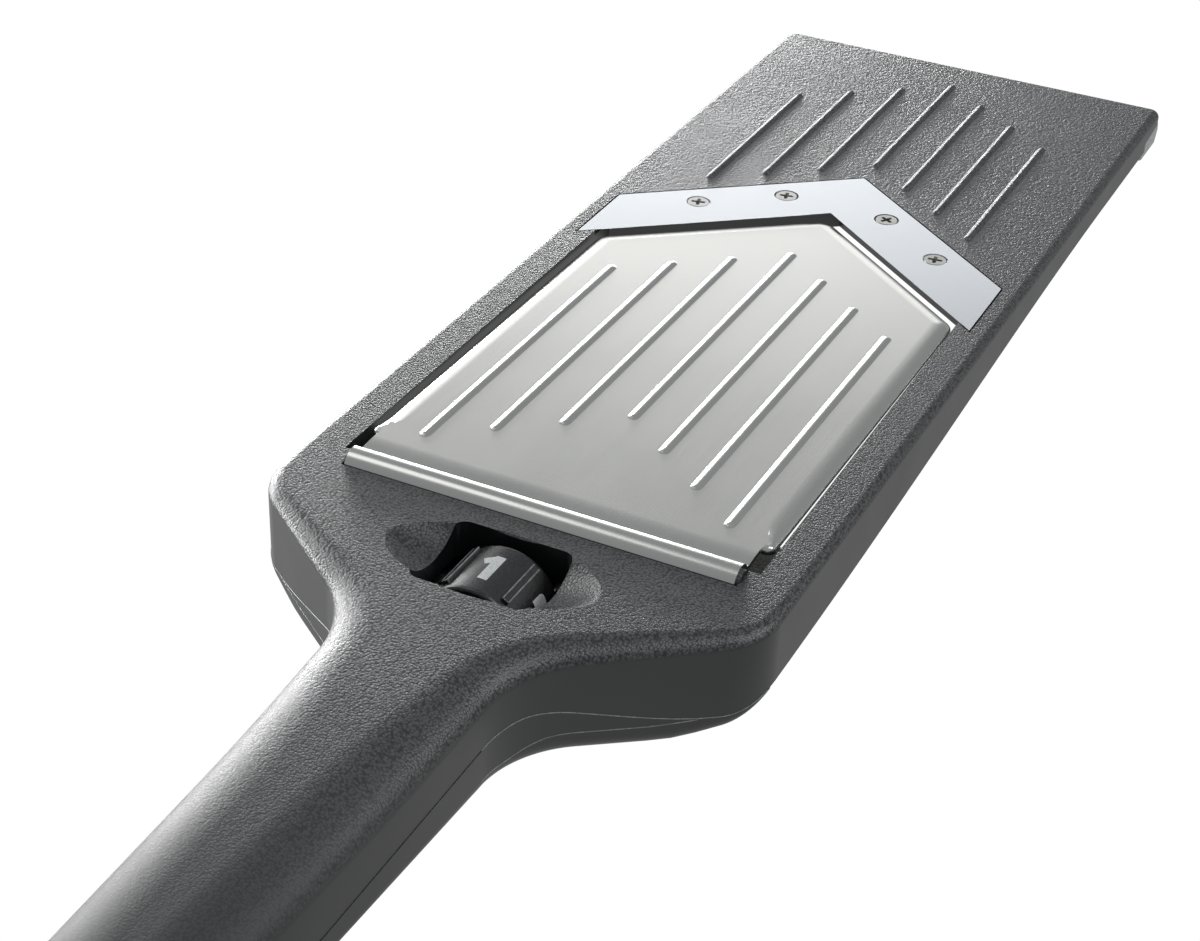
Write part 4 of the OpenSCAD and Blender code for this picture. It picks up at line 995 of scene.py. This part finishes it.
lip_line = ([(p[0] + SHEET / 2 * p[2], p[1] + SHEET / 2 * p[3]) for p in path]
            + [(p[0] - SHEET / 2 * p[2], p[1] - SHEET / 2 * p[3]) for p in reversed(path)])
lip = prism_across("lip", [(y + HINGE_Y, z - PLATE_RISE) for y, z in lip_line], LIP_HALF, on_plate)
join(plate, lip)
soften(plate, 0.08, 34)
dress(plate, plate_steel, "plate", "plate_steel", "ramp_plate")

# %% Pressed ribs of the plate
plate_ribs = rib_row("plate_ribs", plate_steel, 1, Pitch=RIB_PITCH, Start=36.5, Length=83, Width=1.95,
                     Height=0.46)
for vertex in plate_ribs.data.vertices:
    vertex.co = on_plate([c / MM for c in vertex.co])
dress(plate_ribs, plate_steel, "plate", "plate_steel")

# %% [markdown]
# The thumbwheel is turned round its axis along the tool, with rounded rims and five grip ribs between the
# numbers. A turned profile gives the wheel; the ribs repeat, so Geometry Nodes turn one rib about the axis.
# The same tree lays thin light strips on the ribs' edges: painted highlights along each edge.

# %% Thumbwheel
WHEEL_R, WHEEL_LEN, WHEEL_MID, RIM_R = 9.8, 15.5, -20.8, 0.9
SHAFT_R, HUB_R, COLLAR_R, RIM_INNER, TURNS = 2.05, 4.4, 6, 7.5, 120
wheel_near, wheel_far = WHEEL_MID - WHEEL_LEN / 2, WHEEL_MID + WHEEL_LEN / 2
collar_near, web, hub_far = wheel_near - 2.4, wheel_near + 3, wheel_far - 2


def rounded(y, start):
    return [p[:2] for p in arc((y, WHEEL_R - RIM_R), RIM_R, start, start - pi / 2, 6)]


profile = [(collar_near, SHAFT_R), (collar_near, COLLAR_R), (wheel_near, COLLAR_R)]
profile += rounded(wheel_near + RIM_R, pi) + rounded(wheel_far - RIM_R, pi / 2)
profile += [(wheel_far, RIM_INNER), (web, RIM_INNER), (web, HUB_R), (hub_far, HUB_R), (hub_far, SHAFT_R)]
points, faces, n = [], [], len(profile)
for j in range(TURNS):
    a = 2 * pi * j / TURNS
    points += [(r * sin(a), y, AXIS_Z + r * cos(a)) for y, r in profile]
    k = (j + 1) % TURNS
    faces += [(j * n + i, j * n + (i + 1) % n, k * n + (i + 1) % n, k * n + i) for i in range(n)]
wheel = solid("thumbwheel", points, faces)
soften(wheel, 0, 40)
dress(wheel, wheel_plastic, "wheel", "wheel_plastic", "adjuster_wheel")

# %% Grip ribs and the painted highlights on their edges
GRIP_COUNT, GRIP_FIRST, GRIP_TOP, GRIP_HALF, EDGE_GLINT_HALF = 5, radians(36), WHEEL_R + 0.75, 6, 5.8
grip_tree, got, give = geometry_tree("grip_ring", {
    "Rib": (SHAPE, None), "Count": (COUNT, GRIP_COUNT), "First": (NUMBER, GRIP_FIRST),
    "Paint": (PAINT, None)})
part = add(grip_tree, "GeometryNodeObjectInfo", {"Object": got.outputs["Rib"]})
points, index = points_in_place(grip_tree, got)
share = calc("DIVIDE", 2 * pi, got.outputs["Count"])
angle = plus(times(index, share), got.outputs["First"])
about = add(grip_tree, "ShaderNodeCombineXYZ", {"Y": angle})
repeat_on(grip_tree, got, give, points, part.outputs["Geometry"], about.outputs[0])


def ring_on_wheel(name, rib, paint):
    shift(rib, -ORIGIN)
    ring = grown(name, grip_tree, Rib=rib, Count=GRIP_COUNT, First=GRIP_FIRST, Paint=paint)
    bpy.data.objects.remove(rib)
    shift(ring, to_model((0, WHEEL_MID, AXIS_Z)))
    dress(ring, paint, "wheel", "wheel_plastic")


grip = block("grip", (-0.8, -GRIP_HALF, 8.5), (0.8, GRIP_HALF, GRIP_TOP))
ring_on_wheel("grip_ribs", soften(grip, 0.3, 40, 3), grip_plastic)
# Thin light strips along both long edges of each rib: painted highlights.
edge_glint_low, edge_glint_high = (-EDGE_GLINT_HALF, GRIP_TOP - 0.2), (EDGE_GLINT_HALF, GRIP_TOP + 0.02)
worn = block("worn", (-0.78, *edge_glint_low), (-0.52, *edge_glint_high))
join(worn, block("other_edge", (0.52, *edge_glint_low), (0.78, *edge_glint_high)))
ring_on_wheel("worn_edges", worn, painted_highlight_plastic)

# %% [markdown]
# The numbers are printed on the wheel's rim. Each is a few bold strokes on a grid eight units high. A stroke
# is cut into small squares, because a flat face can't follow a curve until it has points to bend at.

# %% Printed numbers
STROKE, GRID_H, INK = 2, 8, 0.03
UNIT = 7.6 / GRID_H


def bowl(cx, cy, rx, ry, start, end):
    return [(cx + rx * cos(radians(a)), cy + ry * sin(radians(a))) for a in range(start, end, -20)]


digit_strokes = [
    [[(0.2, 0), (0.2, 8)], [(-2.3, 5.6), (0.2, 7.1)]],
    [bowl(0, 5.1, 1.8, 1.9, 170, -50) + [(-1.2, 1)], [(-2.3, 1), (2.4, 1)]],
    [bowl(-0.1, 5.3, 1.7, 1.7, 150, -100), bowl(-0.1, 2.4, 1.8, 1.5, 90, -160)],
    [[(0.9, 0), (0.9, 8)], [(0.6, 7.2), (-1.9, 2.4)], [(-2.4, 2.4), (2.3, 2.4)]],
    [[(2, 7), (-1.4, 7), (-1.5, 4.2)], bowl(-0.1, 2.8, 1.9, 1.9, 110, -130)]]


def on_rim(x, y, turn):
    a = x * UNIT / WHEEL_R - turn
    r = WHEEL_R + INK
    return to_model((r * sin(a), WHEEL_MID + (y - GRID_H / 2) * UNIT, AXIS_Z + r * cos(a)))


def stroke_faces(points, turn, pen):
    """A band of small squares along each piece of a stroke, and a round dot where two pieces meet."""
    for (x0, y0), (x1, y1) in zip(points[:-1], points[1:]):
        length = hypot(x1 - x0, y1 - y0)
        side = (-(y1 - y0) / length * STROKE / 2, (x1 - x0) / length * STROKE / 2)
        for u0, u1, v0, v1 in [(i / 6, (i + 1) / 6, j / 4, (j + 1) / 4) for i in range(6) for j in range(4)]:
            corners = [(mix(x0, x1, u) + side[0] * (1 - 2 * v), mix(y0, y1, u) + side[1] * (1 - 2 * v))
                       for u, v in ((u0, v0), (u1, v0), (u1, v1), (u0, v1))]
            pen.faces.new([pen.verts.new(on_rim(x, y, turn)) for x, y in corners])
    for x, y in points[1:-1]:
        dot = [(x + STROKE / 2 * c, y + STROKE / 2 * s) for c, s in circle(12)]
        pen.faces.new([pen.verts.new(on_rim(px, py, turn)) for px, py in dot])


pen = bmesh.new()
for i, strokes in enumerate(digit_strokes):
    for points in strokes:
        stroke_faces(points, 2 * pi * i / 5, pen)
pen.normal_update()
for face in pen.faces:
    middle = face.calc_center_median() - to_model((0, 0, AXIS_Z))
    if face.normal.x * middle.x + face.normal.z * middle.z < 0:
        face.normal_flip()
number_mesh = bpy.data.meshes.new("numbers")
pen.to_mesh(number_mesh)
pen.free()
number_print = in_scene("number_print", number_mesh)
dress(number_print, numeral_ink, "wheel", "numeral_ink", "dial_numerals")

# %% [markdown]
# The rubber foot fills the seat under the far edge. A prism with well-rounded edges is enough,
# since rubber never has a sharp corner.

# %% Foot
foot = prism_across("foot", [(FOOT_START + 2.2, -4.75), (HEAD_LEN + 0.3, -3.45), (HEAD_LEN + 1.2, -6),
                             (HEAD_LEN - 0.8, -9.4), (FOOT_START + 1.2, -9.4)], HALF_W - 0.3)
soften(foot, 0.7, 25, 4)
dress(foot, foot_rubber, "frame", "foot_rubber", "foot_strip")

# %% [markdown]
# The pieces inside keep their exact solids: shaft, bushes, pins, cam, springs and screws are right as they
# are and only need their finish, so the material goes into the slots that came with them.

# %% Finish of the inner pieces
inner_finish = {
    body_plastic: ["shaft_cradle"], nylon: ["plate_saddle", "lift_cam"],
    brass: ["blade_inserts", "rear_bush", "front_bush", "far_bush"],
    shaft_steel: ["camshaft", "wheel_pin", "cam_pin", "shaft_clip", "detent_spring"],
    screw_steel: ["cradle_screws", "detent_screw", "cover_screws"]}
for material, names in inner_finish.items():
    for name in names:
        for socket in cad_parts[name].material_slots:
            socket.material = material
print("inner pieces:", sum(len(names) for names in inner_finish.values()))

# %% [markdown]
# Last, the box of the dressed tool is written beside the box of the solids, so the two can be compared.

# %% Sizes of the solids and of the dressed tool
new_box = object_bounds()
for label, box in (("cad", cad_box), ("dressed", new_box)):
    print(label, "box", [[round(v, 4) for v in corner] for corner in box])
